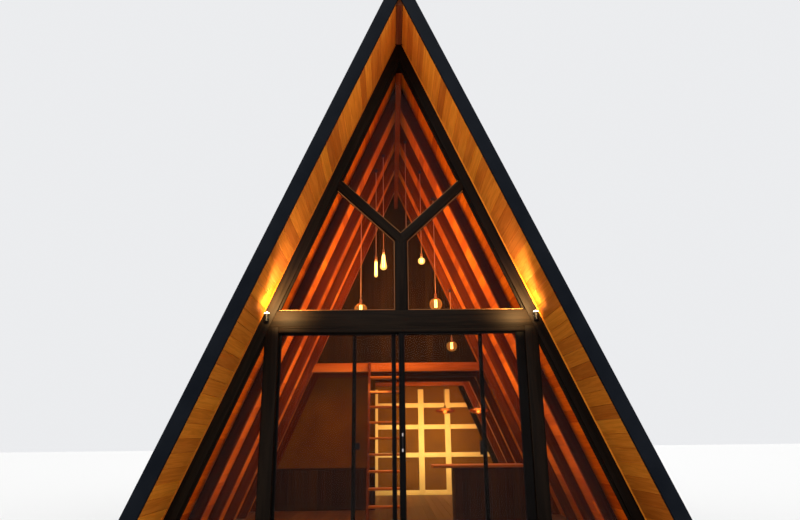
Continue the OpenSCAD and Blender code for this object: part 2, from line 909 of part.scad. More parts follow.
// A flex as one closed tube, with a ring of corners at each of its points
module flex(top, drops) {
    corners = [for (drop = drops, k = [0 : flex_sides - 1])
        let (turn = (k + 0.5) * 360 / flex_sides)
        top + [flex_d / 2 * cos(turn), flex_d / 2 * sin(turn), drop]];
    low_ring = (len(drops) - 1) * flex_sides;
    sides = [for (i = [0 : len(drops) - 2], k = [0 : flex_sides - 1])
        let (a = i * flex_sides + k, b = i * flex_sides + (k + 1) % flex_sides)
        [a, b, b + flex_sides, a + flex_sides]];
    ends = [[for (k = [flex_sides - 1 : -1 : 0]) k], [for (k = [0 : flex_sides - 1]) low_ring + k]];
    polyhedron(corners, concat(sides, ends));
}

module lamp_flexes() {
    color([0.35, 0.25, 0.15]) {
        for (lamp = rafter_lamps) flex(hung_from_rafter(lamp), lamp[3]);
        for (lamp = beam_lamps) flex(hung_from_beam(lamp), lamp[1]);
    }
}

holder_r = 20;
holder_tip_r = 7;
holder_tip_h = 20;
holder_h = 70;
holder_rim_t = 6;
bulb_rim_r = 23;
shade_rim_r = 60;

// A lamp holder below the end of its flex, with a rim round its lower end
module holder(rim_r) {
    rotate_extrude()
        polygon([
            [0, 0], [holder_tip_r, 0], [holder_r, -holder_tip_h], [holder_r, holder_rim_t - holder_h],
            [rim_r, holder_rim_t - holder_h], [rim_r, -holder_h], [0, -holder_h]]);
}

module lamp_holders() {
    color([0.55, 0.4, 0.2]) {
        for (lamp = rafter_lamps)
            translate(flex_end(hung_from_rafter(lamp), lamp[3])) holder(bulb_rim_r);
        for (lamp = beam_lamps)
            translate(flex_end(hung_from_beam(lamp), lamp[1])) holder(shade_rim_r);
    }
}

neck_r = 15;
neck_h = 15;
inner_globe_r = 30;
arc_steps = 12;

// An arc round a centre on the axis, from the angle start to the angle stop, flattened to height rz
function turned(r, rz, z, start, stop) = [for (i = [0 : arc_steps])
    let (a = start + (stop - start) * i / arc_steps)
    [r * cos(a), z + rz * sin(a)]];

function globe_outline(r) = turned(r, r, -neck_h - r, acos(neck_r / r), -90);
tube_outline = concat([[neck_r, -neck_h], [tube_r, -neck_h - tube_r / 2]],
    turned(tube_r, tube_r, tube_r - long_bulb_h, 0, -90));
pear_outline = turned(pear_r, pear_r, pear_r - long_bulb_h,
    asin((pear_r - neck_r) / (long_bulb_h - pear_r)), -90);

function bulb_outline(kind) =
    kind == "tube" ? tube_outline :
    kind == "pear" ? pear_outline :
    globe_outline(kind == "globe" ? globe_r : kind == "small globe" ? small_globe_r : inner_globe_r);

// A bulb below the flat top of its neck
module bulb(kind) {
    rotate_extrude() polygon(concat([[0, 0], [neck_r, 0]], bulb_outline(kind)));
}

module lamp_bulbs() {
    color([1, 0.85, 0.5]) {
        for (lamp = rafter_lamps)
            translate(flex_end(hung_from_rafter(lamp), lamp[3]) - [0, 0, holder_h]) bulb(lamp[2]);
        for (lamp = beam_lamps)
            translate(flex_end(hung_from_beam(lamp), lamp[1]) - [0, 0, holder_h]) bulb("inner globe");
    }
}

// The shade is cut flat a little below the top of its inside, where the holder's rim lies on it
cut_below = 1;
shade_cut = shade_h / 2 - shade_t - cut_below;

// A flattened glass globe round its own bulb
module glass_shade() {
    outer = [shade_w / 2, shade_h / 2];
    inner = outer - [shade_t, shade_t];
    rotate_extrude()
        polygon(concat(
            turned(outer[0], outer[1], 0, asin(shade_cut / outer[1]), -90),
            turned(inner[0], inner[1], 0, -90, asin(shade_cut / inner[1]))));
}

module lamp_shades() {
    color([0.8, 0.4, 0.2, 0.5])
        for (lamp = beam_lamps)
            translate(flex_end(hung_from_beam(lamp), lamp[1]) - [0, 0, holder_h + shade_cut]) glass_shade();
}

ground_beams();
end_skirts();
floor_deck();
roof_panel_left();
roof_panel_right();
lining_left();
lining_right();
roof_cover_left();
roof_cover_right();
ridge_cap();
ridge_beam();
bargeboards_left();
bargeboards_right();
rafters_left();
rafters_right();
gable_rafters_left();
gable_rafters_right();
tie_beams();
central_post();
arm_left();
arm_right();
door_post_left();
door_post_right();
kite_window_frame();
lower_window_frames();
side_window_frames();
window_panes();
door_head();
door_guides();
door_sill();
door_rails();
fixed_door_frame();
fixed_door_pane();
sliding_door_frame();
sliding_door_pane();
sliding_door_fittings();
screen_frame();
screen_mesh();
screen_fittings();
back_wall();
back_wall_posts();
back_wall_rails();
loft_edge_beam();
loft_joists();
loft_deck();
loft_wall();
lower_partition();
stair_stringers();
stair_treads();
kitchen_unit();
kitchen_doors();
kitchen_worktop();
spotlights();
lamp_hooks();
lamp_flexes();
lamp_holders();
lamp_bulbs();
lamp_shades();
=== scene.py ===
import math
import random

import bmesh
import bpy
from mathutils import Matrix, Vector


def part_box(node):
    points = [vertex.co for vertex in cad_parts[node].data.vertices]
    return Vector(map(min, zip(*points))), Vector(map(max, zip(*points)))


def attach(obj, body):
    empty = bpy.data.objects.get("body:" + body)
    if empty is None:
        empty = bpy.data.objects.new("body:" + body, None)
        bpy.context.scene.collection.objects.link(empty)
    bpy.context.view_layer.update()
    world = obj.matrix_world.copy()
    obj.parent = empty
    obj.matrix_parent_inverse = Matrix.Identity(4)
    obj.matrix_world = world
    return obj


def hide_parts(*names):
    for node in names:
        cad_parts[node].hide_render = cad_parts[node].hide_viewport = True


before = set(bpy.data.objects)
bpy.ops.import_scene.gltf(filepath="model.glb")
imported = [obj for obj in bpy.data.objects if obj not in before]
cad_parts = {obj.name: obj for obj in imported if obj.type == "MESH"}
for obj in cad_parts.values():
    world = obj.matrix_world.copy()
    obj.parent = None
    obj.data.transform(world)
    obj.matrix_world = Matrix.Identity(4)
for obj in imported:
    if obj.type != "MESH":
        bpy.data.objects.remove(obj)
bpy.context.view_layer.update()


# The view: standing on the ground in front of the glazed end, a little left of its middle,
# with a wide lens tilted up until the ridge meets the upper edge of the picture.
def linked(name, data):
    """A new object in the scene that shows this data."""
    made = bpy.data.objects.new(name, data)
    bpy.context.scene.collection.objects.link(made)
    return made


EYE = Vector((-0.1443, -11.83, 1.60))
YAW, PITCH, ROLL = (math.radians(a) for a in (1.0157, 16.2545, -0.6227))
FOCAL_PIXELS, PICTURE_WIDTH, SENSOR = 617.03, 800, 36
ahead = Vector((math.sin(YAW) * math.cos(PITCH), math.cos(YAW) * math.cos(PITCH), math.sin(PITCH)))
level = Vector((math.cos(YAW), -math.sin(YAW), 0))
right = level * math.cos(ROLL) + level.cross(ahead) * math.sin(ROLL)
camera = linked("camera", bpy.data.cameras.new("camera"))
camera.data.sensor_width = SENSOR
camera.data.lens = SENSOR * FOCAL_PIXELS / PICTURE_WIDTH
camera.data.clip_end = 200
camera.matrix_world = Matrix((right, right.cross(ahead), -ahead)).transposed().to_4x4()
camera.location = EYE
bpy.context.scene.camera = camera


# Ground beams: two heavy timbers under the eaves and a skirt plank across each end, tarred against
# the damp and laid flat on the ground, with arrises just taken off.
def feed(tree, node, inputs):
    """Puts a value or a link on each of a node's inputs that is named."""
    for key, value in inputs.items():
        if isinstance(value, bpy.types.NodeSocket):
            tree.links.new(value, node.inputs[key])
        else:
            node.inputs[key].default_value = value


def add(tree, kind, inputs=None, **settings):
    """A node in the tree, with values or links on its inputs."""
    added = tree.nodes.new(kind)
    for key, value in settings.items():
        setattr(added, key, value)
    feed(tree, added, inputs or {})
    return added


def calc(tree, operation, *values):
    """What a sum on one or two numbers comes to."""
    return add(tree, "ShaderNodeMath", dict(enumerate(values)), operation=operation).outputs[0]


def vector_calc(tree, operation, a, b):
    """What a sum on two vectors comes to, or on a vector and the number that scales it."""
    second = "Scale" if operation == "SCALE" else 1
    made = add(tree, "ShaderNodeVectorMath", {0: a, second: b}, operation=operation)
    return made.outputs["Value" if operation == "DOT_PRODUCT" else "Vector"]


def mixed(tree, share, a, b):
    """Two numbers mixed, with this share of the second."""
    made = add(tree, "ShaderNodeMix", {"Factor": share, "A": a, "B": b}, data_type="FLOAT")
    return made.outputs["Result"]


def between(tree, value, low, high, start=0.0):
    """A value from start to 1 spread between low and high."""
    inputs = {"Value": value, "From Min": start, "To Min": low, "To Max": high}
    return add(tree, "ShaderNodeMapRange", inputs).outputs["Result"]


def noise(tree, place, scale, detail, **more):
    """Clouds from 0 to 1, the finer the larger their scale."""
    inputs = {"Vector": place, "Scale": scale, "Detail": detail, **more}
    return add(tree, "ShaderNodeTexNoise", inputs).outputs["Fac"]


def relief(tree, height, strength, depth):
    """The normal of a surface that rises and falls with height, by depth metres."""
    inputs = {"Strength": strength, "Distance": depth, "Height": height}
    return add(tree, "ShaderNodeBump", inputs).outputs["Normal"]


def ramp(tree, factor, stops):
    """A colour ramp through (position, colour) stops."""
    made = add(tree, "ShaderNodeValToRGB", {"Fac": factor})
    while len(made.color_ramp.elements) < len(stops):
        made.color_ramp.elements.new(0.5)
    for element, (position, colour) in zip(made.color_ramp.elements, stops):
        element.position = position
        element.color = (*colour, 1)
    return made.outputs["Color"]


def finish(name, **surface):
    """A new material with its tree, its surface shader and the place on the piece that it colours."""
    made = bpy.data.materials.new(name)
    made.use_nodes = True
    tree = made.node_tree
    shader = tree.nodes["Principled BSDF"]
    feed(tree, shader, {key.replace("_", " "): value for key, value in surface.items()})
    return made, tree, shader, add(tree, "ShaderNodeTexCoord").outputs["Object"]


def wood(name, stops, rough, figure=14.0, spread=0.3, **surface):
    """Timber with its figure drawn out along each piece's own grain, and each piece a shade of its own."""
    drawn_out, ring_count, hue_spread, piece_step = 0.955, 9.0, 0.006, (13.1, 7.7, 23.3)
    made, tree, shader, place = finish(name, **surface)
    grain = add(tree, "ShaderNodeAttribute", attribute_name="grain").outputs["Vector"]
    shade = add(tree, "ShaderNodeAttribute", attribute_name="shade").outputs["Fac"]
    along = calc(tree, "MULTIPLY", vector_calc(tree, "DOT_PRODUCT", place, grain), -drawn_out)
    drawn = vector_calc(tree, "ADD", place, vector_calc(tree, "SCALE", grain, along))
    apart = vector_calc(tree, "SCALE", piece_step, shade)
    point = vector_calc(tree, "ADD", drawn, apart)
    cloud = noise(tree, point, figure, 3.0, Distortion=0.4)
    rings = calc(tree, "PINGPONG", calc(tree, "MULTIPLY", cloud, ring_count), 1.0)
    fibre = noise(tree, point, figure * 22, 4.0, Roughness=0.7)
    grown_rings = mixed(tree, 0.55, rings, fibre)
    toned = add(tree, "ShaderNodeHueSaturation", {
        "Hue": between(tree, shade, 0.5 - hue_spread, 0.5 + hue_spread),
        "Value": between(tree, shade, 1 - spread, 1 + spread),
        "Color": ramp(tree, mixed(tree, 0.4, grown_rings, cloud), stops)}).outputs["Color"]
    feed(tree, shader, {"Base Color": toned, "Roughness": between(tree, fibre, *rough),
                        "Normal": relief(tree, grown_rings, 0.3, 0.002)})
    return made


def meshed(name, bm):
    """The shape that was worked on, as a plain mesh."""
    mesh = bpy.data.meshes.new(name)
    bm.to_mesh(mesh)
    bm.free()
    return mesh


def copied(node):
    """The solids of a CAD node, with whole flat faces, to be worked on."""
    bm = bmesh.new()
    bm.from_mesh(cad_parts[node].data)
    bmesh.ops.remove_doubles(bm, verts=bm.verts, dist=1e-5)
    bmesh.ops.dissolve_limit(bm, angle_limit=0.002, verts=bm.verts, edges=bm.edges)
    bm.normal_update()
    return bm


def solids(bm):
    """The separate solids of a mesh, each as a list of faces, in the order of their middles."""
    left, found = set(bm.faces), []
    while left:
        todo, part = [left.pop()], []
        while todo:
            face = todo.pop()
            part.append(face)
            for edge in face.edges:
                for other in edge.link_faces:
                    if other in left:
                        left.remove(other)
                        todo.append(other)
        found.append(part)

    def middle(part):
        """The middle of a solid, by depth first, then across and up."""
        centre = sum((f.calc_center_median() for f in part), Vector()) / len(part)
        return tuple(round(c, 3) for c in (centre.y, centre.x, centre.z))

    return sorted(found, key=middle)


def seated(name, mesh, material, body="house", replaces=(), smooth=35):
    """Puts a finished mesh in the frame as a piece that rides on a body."""
    mesh.polygons.foreach_set("use_smooth", [True] * len(mesh.polygons))
    mesh.set_sharp_from_angle(angle=math.radians(smooth))
    mesh.materials.clear()
    mesh.materials.append(material)
    made = linked(name, mesh)
    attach(made, body)
    if replaces:
        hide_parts(*replaces)
    return made


def piece(name, bm, material, slot, body="house", edge=0.003, seed=1, replaces=(), steps=2):
    """Takes the arrises off the solids in bm, gives each its grain and shade, and puts them in the frame."""
    rng, arris_angle = random.Random(seed), math.radians(20)
    grain = bm.faces.layers.float_vector.new("grain")
    shade = bm.faces.layers.float.new("shade")
    for part in solids(bm):
        longest = max((e for f in part for e in f.edges), key=lambda e: round(e.calc_length(), 4))
        way = (longest.verts[1].co - longest.verts[0].co).normalized()
        tone = rng.random()
        for face in part:
            face[grain] = way
            face[shade] = tone
    if edge:
        sharp = [e for e in bm.edges if len(e.link_faces) == 2 and e.calc_face_angle(0) > arris_angle]
        bmesh.ops.bevel(bm, geom=sharp, offset=edge, segments=steps, profile=0.6, affect="EDGES",
                        clamp_overlap=True)
    return seated(name, meshed(name, bm), material, body, replaces)


def dressed(node, ending, material, slot, **more):
    """The solids of a CAD node as one finished piece, named after it."""
    piece(node + ending, copied(node), material, slot, replaces=[node], **more)


tarred = wood("tarred_timber", [(0.2, (0.016, 0.013, 0.011)), (0.8, (0.05, 0.04, 0.032))], (0.6, 0.85),
              Specular_IOR_Level=0.2)
for node in ("ground_beams", "end_skirts"):
    dressed(node, "_timber", tarred, "foundation", edge=0.006)


# Floor: thick planks from front to back, laid with narrow joints and cut to the slope of the
# linings at both sides. They carry on through the front wall and end at the bargeboards.
HALF_BASE, APEX = 3.0, 6.95
SLOPE = HALF_BASE / APEX
LEAN = math.atan(SLOPE)
ACROSS, BACK, UP = Vector((1, 0, 0)), Vector((0, 1, 0)), Vector((0, 0, 1))


def edge_x(out, z):
    """Distance from the middle of a line that lies out metres outside the lining, at height z."""
    return (APEX + out / math.sin(LEAN) - z) * SLOPE


def edge_z(out, x):
    """Height of a line that lies out metres outside the lining, at distance x from the middle."""
    return APEX + out / math.sin(LEAN) - x / SLOPE


def slope_cuts(out):
    """The two planes parallel to the linings, out metres outside them, as (point, way out) pairs."""
    foot = Vector((edge_x(out, 0), 0, 0))
    return [(foot * side, Vector((side * math.cos(LEAN), 0, math.sin(LEAN)))) for side in (1, -1)]


def repeat_tree(name, inputs):
    """A tree of geometry nodes with named inputs, and the sockets that these come in by."""
    tree = bpy.data.node_groups.new(name, "GeometryNodeTree")
    for label, kind in inputs.items():
        tree.interface.new_socket(label, in_out="INPUT", socket_type="NodeSocket" + kind)
    tree.interface.new_socket("Made", in_out="OUTPUT", socket_type="NodeSocketGeometry")
    return tree, tree.nodes.new("NodeGroupInput").outputs


def made_real(tree, instances, material):
    """The end of a tree: its instances become plain mesh with their finish on."""
    real = add(tree, "GeometryNodeRealizeInstances", {"Geometry": instances}).outputs[0]
    coated = add(tree, "GeometryNodeSetMaterial", {"Geometry": real, "Material": material}).outputs[0]
    tree.links.new(coated, tree.nodes.new("NodeGroupOutput").inputs["Made"])


def board_tree():
    """Boards side by side, each row cut into lengths at staggered places, with bevelled long edges."""
    tree, given = repeat_tree("boards", {
        "Rows": "Int", "Lengths": "Int", "Width": "Float", "Run": "Float", "Thickness": "Float",
        "Gap": "Float", "Bevel": "Float", "Stagger": "Float", "Seed": "Int", "Finish": "Material"})
    rows, lengths, width, run, thick, gap, bevel, stagger, seed, coat = list(given)[:10]
    row_step = 31.0

    def work(operation, a, b):
        """What a sum on two numbers comes to in this tree."""
        return calc(tree, operation, a, b)

    index = add(tree, "GeometryNodeInputIndex").outputs[0]
    row = work("FLOOR", work("DIVIDE", index, lengths), 0.0)
    number = work("SUBTRACT", index, work("MULTIPLY", row, lengths))

    def cut(count):
        """Where along the run the cut with this number lies in its row."""
        key = work("ADD", work("MULTIPLY", row, row_step), count)
        chance = add(tree, "FunctionNodeRandomValue", {2: -1.0, 3: 1.0, "ID": key, "Seed": seed}).outputs[1]
        inside = work("MULTIPLY", work("GREATER_THAN", count, 0.5),
                      work("LESS_THAN", count, work("SUBTRACT", lengths, 0.5)))
        share = work("ADD", count, work("MULTIPLY", work("MULTIPLY", chance, stagger), inside))
        return work("MULTIPLY", work("DIVIDE", share, lengths), run)

    def vector(**axes):
        """A vector made up from its axes."""
        return add(tree, "ShaderNodeCombineXYZ", axes).outputs[0]

    start, end = cut(number), cut(work("ADD", number, 1.0))
    spot = vector(X=work("MULTIPLY", work("ADD", row, 0.5), width),
                  Y=work("MULTIPLY", work("ADD", start, end), 0.5))
    points = add(tree, "GeometryNodePoints", {"Count": work("MULTIPLY", rows, lengths), "Position": spot})
    size = vector(X=work("SUBTRACT", width, gap), Y=1.0, Z=work("SUBTRACT", thick, bevel))
    blank = add(tree, "GeometryNodeMeshCube", {"Size": size}).outputs["Mesh"]
    drop = vector(Z=work("MULTIPLY", work("ADD", thick, bevel), -0.5))
    lowered = add(tree, "GeometryNodeTransform", {"Geometry": blank, "Translation": drop}).outputs[0]
    facing = add(tree, "ShaderNodeSeparateXYZ", {0: add(tree, "GeometryNodeInputNormal").outputs[0]})
    raised = add(tree, "GeometryNodeExtrudeMesh", {
        "Mesh": lowered, "Selection": work("GREATER_THAN", facing.outputs["Z"], 0.5), "Offset Scale": bevel})
    narrowed = work("SUBTRACT", 1.0, work("DIVIDE", work("MULTIPLY", bevel, 2.0), width))
    shaped = add(tree, "GeometryNodeScaleElements", {
        "Geometry": raised.outputs["Mesh"], "Selection": raised.outputs["Top"], "Scale": narrowed,
        "Axis": (1.0, 0.0, 0.0)}, scale_mode="SINGLE_AXIS").outputs[0]
    stretch = vector(X=1.0, Y=work("SUBTRACT", work("SUBTRACT", end, start), gap), Z=1.0)
    laid = add(tree, "GeometryNodeInstanceOnPoints", {
        "Points": points.outputs[0], "Instance": shaped, "Scale": stretch}).outputs[0]
    chance = add(tree, "FunctionNodeRandomValue", {"ID": index, "Seed": seed}).outputs[1]
    toned = add(tree, "GeometryNodeStoreNamedAttribute", {
        "Geometry": laid, "Name": "shade", "Value": chance}, data_type="FLOAT", domain="INSTANCE")
    made_real(tree, toned.outputs[0], coat)
    return tree


def grown(tree, **inputs):
    """The plain mesh that a tree of geometry nodes makes from these inputs."""
    holder = linked("grown", bpy.data.meshes.new("grown"))
    modifier = holder.modifiers.new("grown", "NODES")
    modifier.node_group = tree
    for item in tree.interface.items_tree:
        if item.in_out == "INPUT":
            modifier[item.identifier] = inputs[item.name]
    mesh = bpy.data.meshes.new_from_object(holder.evaluated_get(bpy.context.evaluated_depsgraph_get()))
    bpy.data.objects.remove(holder)
    return mesh


def trimmed(bm, point, outward):
    """Cuts away what lies outside a plane and closes the cut."""
    cut = bmesh.ops.bisect_plane(bm, geom=bm.verts[:] + bm.edges[:] + bm.faces[:], dist=1e-6,
                                 plane_co=point, plane_no=outward, clear_outer=True)
    edges = [e for e in cut["geom_cut"] if isinstance(e, bmesh.types.BMEdge) and len(e.link_faces) < 2]
    bmesh.ops.holes_fill(bm, edges=edges, sides=0)


boards = board_tree()


def boarded(name, corner, across, along, material, rows, span, run, thickness, seed, lengths=1,
            bevel=0.003, cuts=(), replaces=()):
    """Boards on a plane, in rows that share out a span: corner is on their face, and they run along."""
    mesh = grown(boards, Rows=rows, Lengths=lengths, Width=span / rows, Run=run, Thickness=thickness,
                 Gap=0.0015, Bevel=bevel, Stagger=0.3, Seed=seed, Finish=material)
    turn = Matrix((across, along, across.cross(along))).transposed()
    mesh.transform(Matrix.Translation(corner) @ turn.to_4x4())
    bm = bmesh.new()
    bm.from_mesh(mesh)
    bpy.data.meshes.remove(mesh)
    for point, outward in cuts:
        trimmed(bm, point, outward)
    grain = bm.verts.layers.float_vector.new("grain")
    for vert in bm.verts:
        vert[grain] = along
    return seated(name, meshed(name, bm), material, replaces=replaces, smooth=20)


def decked(name, node, rows, lengths, seed, out):
    """Floor planks in place of a CAD deck, cut off out metres outside the linings."""
    low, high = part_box(node)
    boarded(name, (low.x, low.y, high.z), ACROSS, BACK, floor_wood, rows, high.x - low.x,
            high.y - low.y, high.z - low.z, seed, lengths, cuts=slope_cuts(out), replaces=[node])


floor_wood = wood("oiled_floor_planks", [(0.15, (0.07, 0.027, 0.008)), (0.5, (0.135, 0.057, 0.018)),
                                         (0.85, (0.2, 0.092, 0.034))], (0.35, 0.6), Specular_IOR_Level=0.2)
decked("floor_planks", "floor_deck", rows=41, lengths=3, seed=4, out=0)
floor_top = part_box("floor_deck")[1].z


# Roof lining: varnished softwood boards that run along the ridge, nailed to the outside of the
# rafters. The same boards show as the soffit of the deep overhang at both ends.
lining_wood = wood("varnished_lining", [(0.1, (0.42, 0.112, 0.009)), (0.45, (0.6, 0.18, 0.015)),
                                        (0.8, (0.72, 0.24, 0.026))], (0.4, 0.6), figure=18.0, spread=0.26,
                   Specular_IOR_Level=0.04)
LINING_ROWS, LINING_T = 46, 0.018
lining_low, lining_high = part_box("lining_right")
slope_length = Vector((edge_x(0, 0) - lining_low.x, edge_z(0, lining_low.x))).length
for side, node in ((1, "lining_right"), (-1, "lining_left")):
    foot = Vector((side * edge_x(0, 0), lining_low.y, 0))
    up_slope = Vector((-side * math.sin(LEAN), 0, math.cos(LEAN)))
    corner = foot if side > 0 else foot + up_slope * slope_length
    boarded(node + "_boards", corner, up_slope * side, BACK, lining_wood, LINING_ROWS,
            slope_length, lining_high.y - lining_low.y, LINING_T, seed=11 + side, lengths=4, bevel=0.004,
            cuts=[(Vector(), -UP)], replaces=[node])


# Roof panels: insulation between battens, closed in between the lining and the sheet, and open to
# view only along the foot of the roof.
panel_wood = wood("rough_battens", [(0.2, (0.4, 0.27, 0.15)), (0.8, (0.6, 0.45, 0.28))], (0.6, 0.85))
for node in ("roof_panel_left", "roof_panel_right"):
    dressed(node, "_battens", panel_wood, "roof_panel", edge=0)


# Roof sheet: dark coated steel trays on battens, joined by tall seams that are folded over at the
# top, with a turned-down foot and a pressed cap along the ridge.
def coated_metal(name, colour, rough, dirt=0.25, along=(1, 1, 1), **surface):
    """Coated or bare sheet metal with slight streaks and a dulling film."""
    made, tree, shader, place = finish(name, **surface)
    pulled = add(tree, "ShaderNodeMapping", {"Vector": place, "Scale": along}).outputs[0]
    film = noise(tree, pulled, 3.0, 8.0, Roughness=0.65)
    fine = noise(tree, place, 260.0, 2.0)
    worn = tuple(min(1.0, c * (1 + dirt) + dirt * 0.05) for c in colour)
    feed(tree, shader, {
        "Base Color": ramp(tree, film, [(0.35, colour), (0.75, worn)]),
        "Roughness": between(tree, mixed(tree, 0.3, film, fine), rough - 0.08, rough + 0.14),
        "Normal": relief(tree, fine, 0.08, 0.001)})
    return made


def prism(bm, outline, low, high, axis="y"):
    """A straight solid: an outline in the plane across the axis, drawn out from low to high."""
    turn = {"y": lambda a, b, c: (a, c, b), "x": lambda a, b, c: (c, a, b)}[axis]
    rims = [[bm.verts.new(turn(a, b, c)) for a, b in outline] for c in (low, high)]
    faces = [bm.faces.new(rim) for rim in rims]
    for i in range(len(outline)):
        j = (i + 1) % len(outline)
        faces.append(bm.faces.new((rims[0][i], rims[0][j], rims[1][j], rims[1][i])))
    bmesh.ops.recalc_face_normals(bm, faces=faces)


def seam_tree():
    """The same seam at every pitch from one end of the roof to the other."""
    tree, given = repeat_tree("seams", {
        "Count": "Int", "First": "Float", "Pitch": "Float", "Seam": "Object", "Finish": "Material"})
    index = add(tree, "GeometryNodeInputIndex").outputs[0]
    along = calc(tree, "ADD", given["First"], calc(tree, "MULTIPLY", index, given["Pitch"]))
    spot = add(tree, "ShaderNodeCombineXYZ", {"Y": along}).outputs[0]
    points = add(tree, "GeometryNodePoints", {"Count": given["Count"], "Position": spot}).outputs[0]
    seam = add(tree, "GeometryNodeObjectInfo", {"Object": given["Seam"]}).outputs["Geometry"]
    laid = add(tree, "GeometryNodeInstanceOnPoints", {"Points": points, "Instance": seam}).outputs[0]
    made_real(tree, laid, given["Finish"])
    return tree


roof_steel = coated_metal("coated_roof_steel", (0.02, 0.025, 0.032), 0.42, along=(1, 1, 0.15),
                          Specular_IOR_Level=0.3)
COVER_IN, COVER_OUT, SEAM_TOP = 0.118, 0.130, 0.155
SEAM_W, SEAM_WEB, SEAM_LIP, SEAM_T = 0.012, 0.005, 0.01, 0.001
SEAM_PITCH, SEAM_TO_RIDGE = 0.5, 0.06
cover_low, cover_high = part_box("roof_cover_right")
seam_run = cover_high.y - cover_low.y - SEAM_W
seam_count = round(seam_run / SEAM_PITCH)
seams = seam_tree()
for side, node in ((1, "roof_cover_right"), (-1, "roof_cover_left")):
    trays, seam = bmesh.new(), bmesh.new()
    prism(trays, [(side * edge_x(COVER_IN, 0), 0), (side * edge_x(COVER_OUT, 0), 0),
                  (0, edge_z(COVER_OUT, 0)), (0, edge_z(COVER_IN, 0))], cover_low.y, cover_high.y)
    piece(node + "_trays", trays, roof_steel, "roof_sheet", edge=0, replaces=[node])
    for low, high, width in ((COVER_OUT, SEAM_TOP - SEAM_T, SEAM_WEB),
                             (SEAM_TOP - SEAM_LIP, SEAM_TOP, SEAM_W)):
        prism(seam, [(side * edge_x(low, 0), 0), (side * edge_x(high, 0), 0),
                     (side * SEAM_TO_RIDGE, edge_z(high, SEAM_TO_RIDGE)),
                     (side * SEAM_TO_RIDGE, edge_z(low, SEAM_TO_RIDGE))], 0, width)
    folded = linked("seam", meshed("seam", seam))
    rows = grown(seams, Count=seam_count + 1, First=cover_low.y, Pitch=seam_run / seam_count, Seam=folded,
                 Finish=roof_steel)
    bpy.data.objects.remove(folded)
    seated(node + "_seams", rows, roof_steel)
dressed("ridge_cap", "_sheet", roof_steel, "roof_sheet", edge=0.001)


# Bargeboards: painted planks on edge that close both ends of the roof from the ground to the
# ridge, mitred together at the top.
def painted(name, colour, rough, wear=(0.5, 0.4, 0.3), brush=(1, 1, 1), **surface):
    """Brushed paint with faint brush marks and a little chalking."""
    made, tree, shader, place = finish(name, **surface)
    pulled = add(tree, "ShaderNodeMapping", {"Vector": place, "Scale": brush}).outputs[0]
    marks = noise(tree, pulled, 90.0, 3.0)
    patches = noise(tree, place, 4.0, 6.0)
    chalked = tuple(c * 0.8 + w * 0.06 for c, w in zip(colour, wear))
    feed(tree, shader, {
        "Base Color": ramp(tree, patches, [(0.3, colour), (0.75, chalked)]),
        "Roughness": between(tree, patches, rough - 0.06, rough + 0.12),
        "Normal": relief(tree, marks, 0.15, 0.0008)})
    return made


navy = painted("navy_paint", (0.0018, 0.0032, 0.0062), 0.55, (0.06, 0.07, 0.09), brush=(0.3, 1, 0.12),
               Specular_IOR_Level=0.06)
for node in ("bargeboards_left", "bargeboards_right"):
    dressed(node, "_planks", navy, "bargeboard_paint")


# Ridge beam, rafters and the loft's own beams: planed hardwood, red-brown but for the orange beam on
# the loft's edge. Rafters lean on the ridge beam, which deepens between the gable walls, and stand
# on the floor, and the loft's joists span between them.
rafter_wood = wood("red_brown_rafters", [(0.15, (0.05, 0.0105, 0.0028)), (0.5, (0.125, 0.028, 0.0068)),
                                         (0.85, (0.2, 0.052, 0.0125))], (0.4, 0.65), spread=0.22,
                   Specular_IOR_Level=0.06)
beam_wood = wood("orange_red_beams", [(0.15, (0.26, 0.08, 0.013)), (0.5, (0.44, 0.15, 0.026)),
                                      (0.85, (0.56, 0.22, 0.042))], (0.4, 0.6), spread=0.15,
                 Specular_IOR_Level=0.2)
for node in ("ridge_beam", "rafters_left", "rafters_right", "loft_edge_beam", "loft_joists"):
    timber = beam_wood if node == "loft_edge_beam" else rafter_wood
    dressed(node, "_timber", timber, "rafter_timber", edge=0.004, seed=len(node))


# Front and back frames: near-black stained timber. Two rafters, a tie beam, the two door posts and
# the three-armed glazing frame whose arms meet on top of the short central post.
dark_wood = wood("black_stained_timber", [(0.2, (0.0022, 0.0014, 0.0009)), (0.8, (0.013, 0.0078, 0.0045))],
                 (0.45, 0.68), spread=0.25, Specular_IOR_Level=0.05)
for node in ("gable_rafters_left", "gable_rafters_right", "tie_beams", "central_post", "arm_left",
             "arm_right", "door_post_left", "door_post_right", "door_head", "door_guides", "door_sill"):
    arris = 0.0015 if node == "door_guides" else 0.004
    dressed(node, "_timber", dark_wood, "dark_timber", edge=arris, seed=len(node) * 3)


# Window frames: mitred bars that follow each opening. Each holds one thick sheet of clear glass,
# bedded half-way through the frame between two black gaskets.
def meet(a, b, c, d):
    """Where the line through a and b meets the line through c and d."""
    u, v, w = b - a, d - c, c - a
    return a + u * ((w.x * v.y - w.y * v.x) / (u.x * v.y - u.y * v.x))


def inset(points, by):
    """A convex outline, drawn anticlockwise, moved in on every side."""
    sides = []
    for a, b in zip(points, points[1:] + points[:1]):
        u = (b - a).normalized()
        inwards = Vector((-u.y, u.x)) * by
        sides.append((a + inwards, b + inwards))
    return [meet(*sides[i - 1], *sides[i]) for i in range(len(points))]


def mirrored(points):
    """The same outline left of the middle, still anticlockwise."""
    return [Vector((-p.x, p.y)) for p in reversed(points)]


def sloping(a, b):
    """Whether the side from a to b runs up the gable."""
    return abs(abs(b.x - a.x) - SLOPE * abs(b.y - a.y)) < 0.01 * (b - a).length


def level_or_arm(a, b):
    """Whether the side from a to b lies on a beam, a post or an arm."""
    return not sloping(a, b)


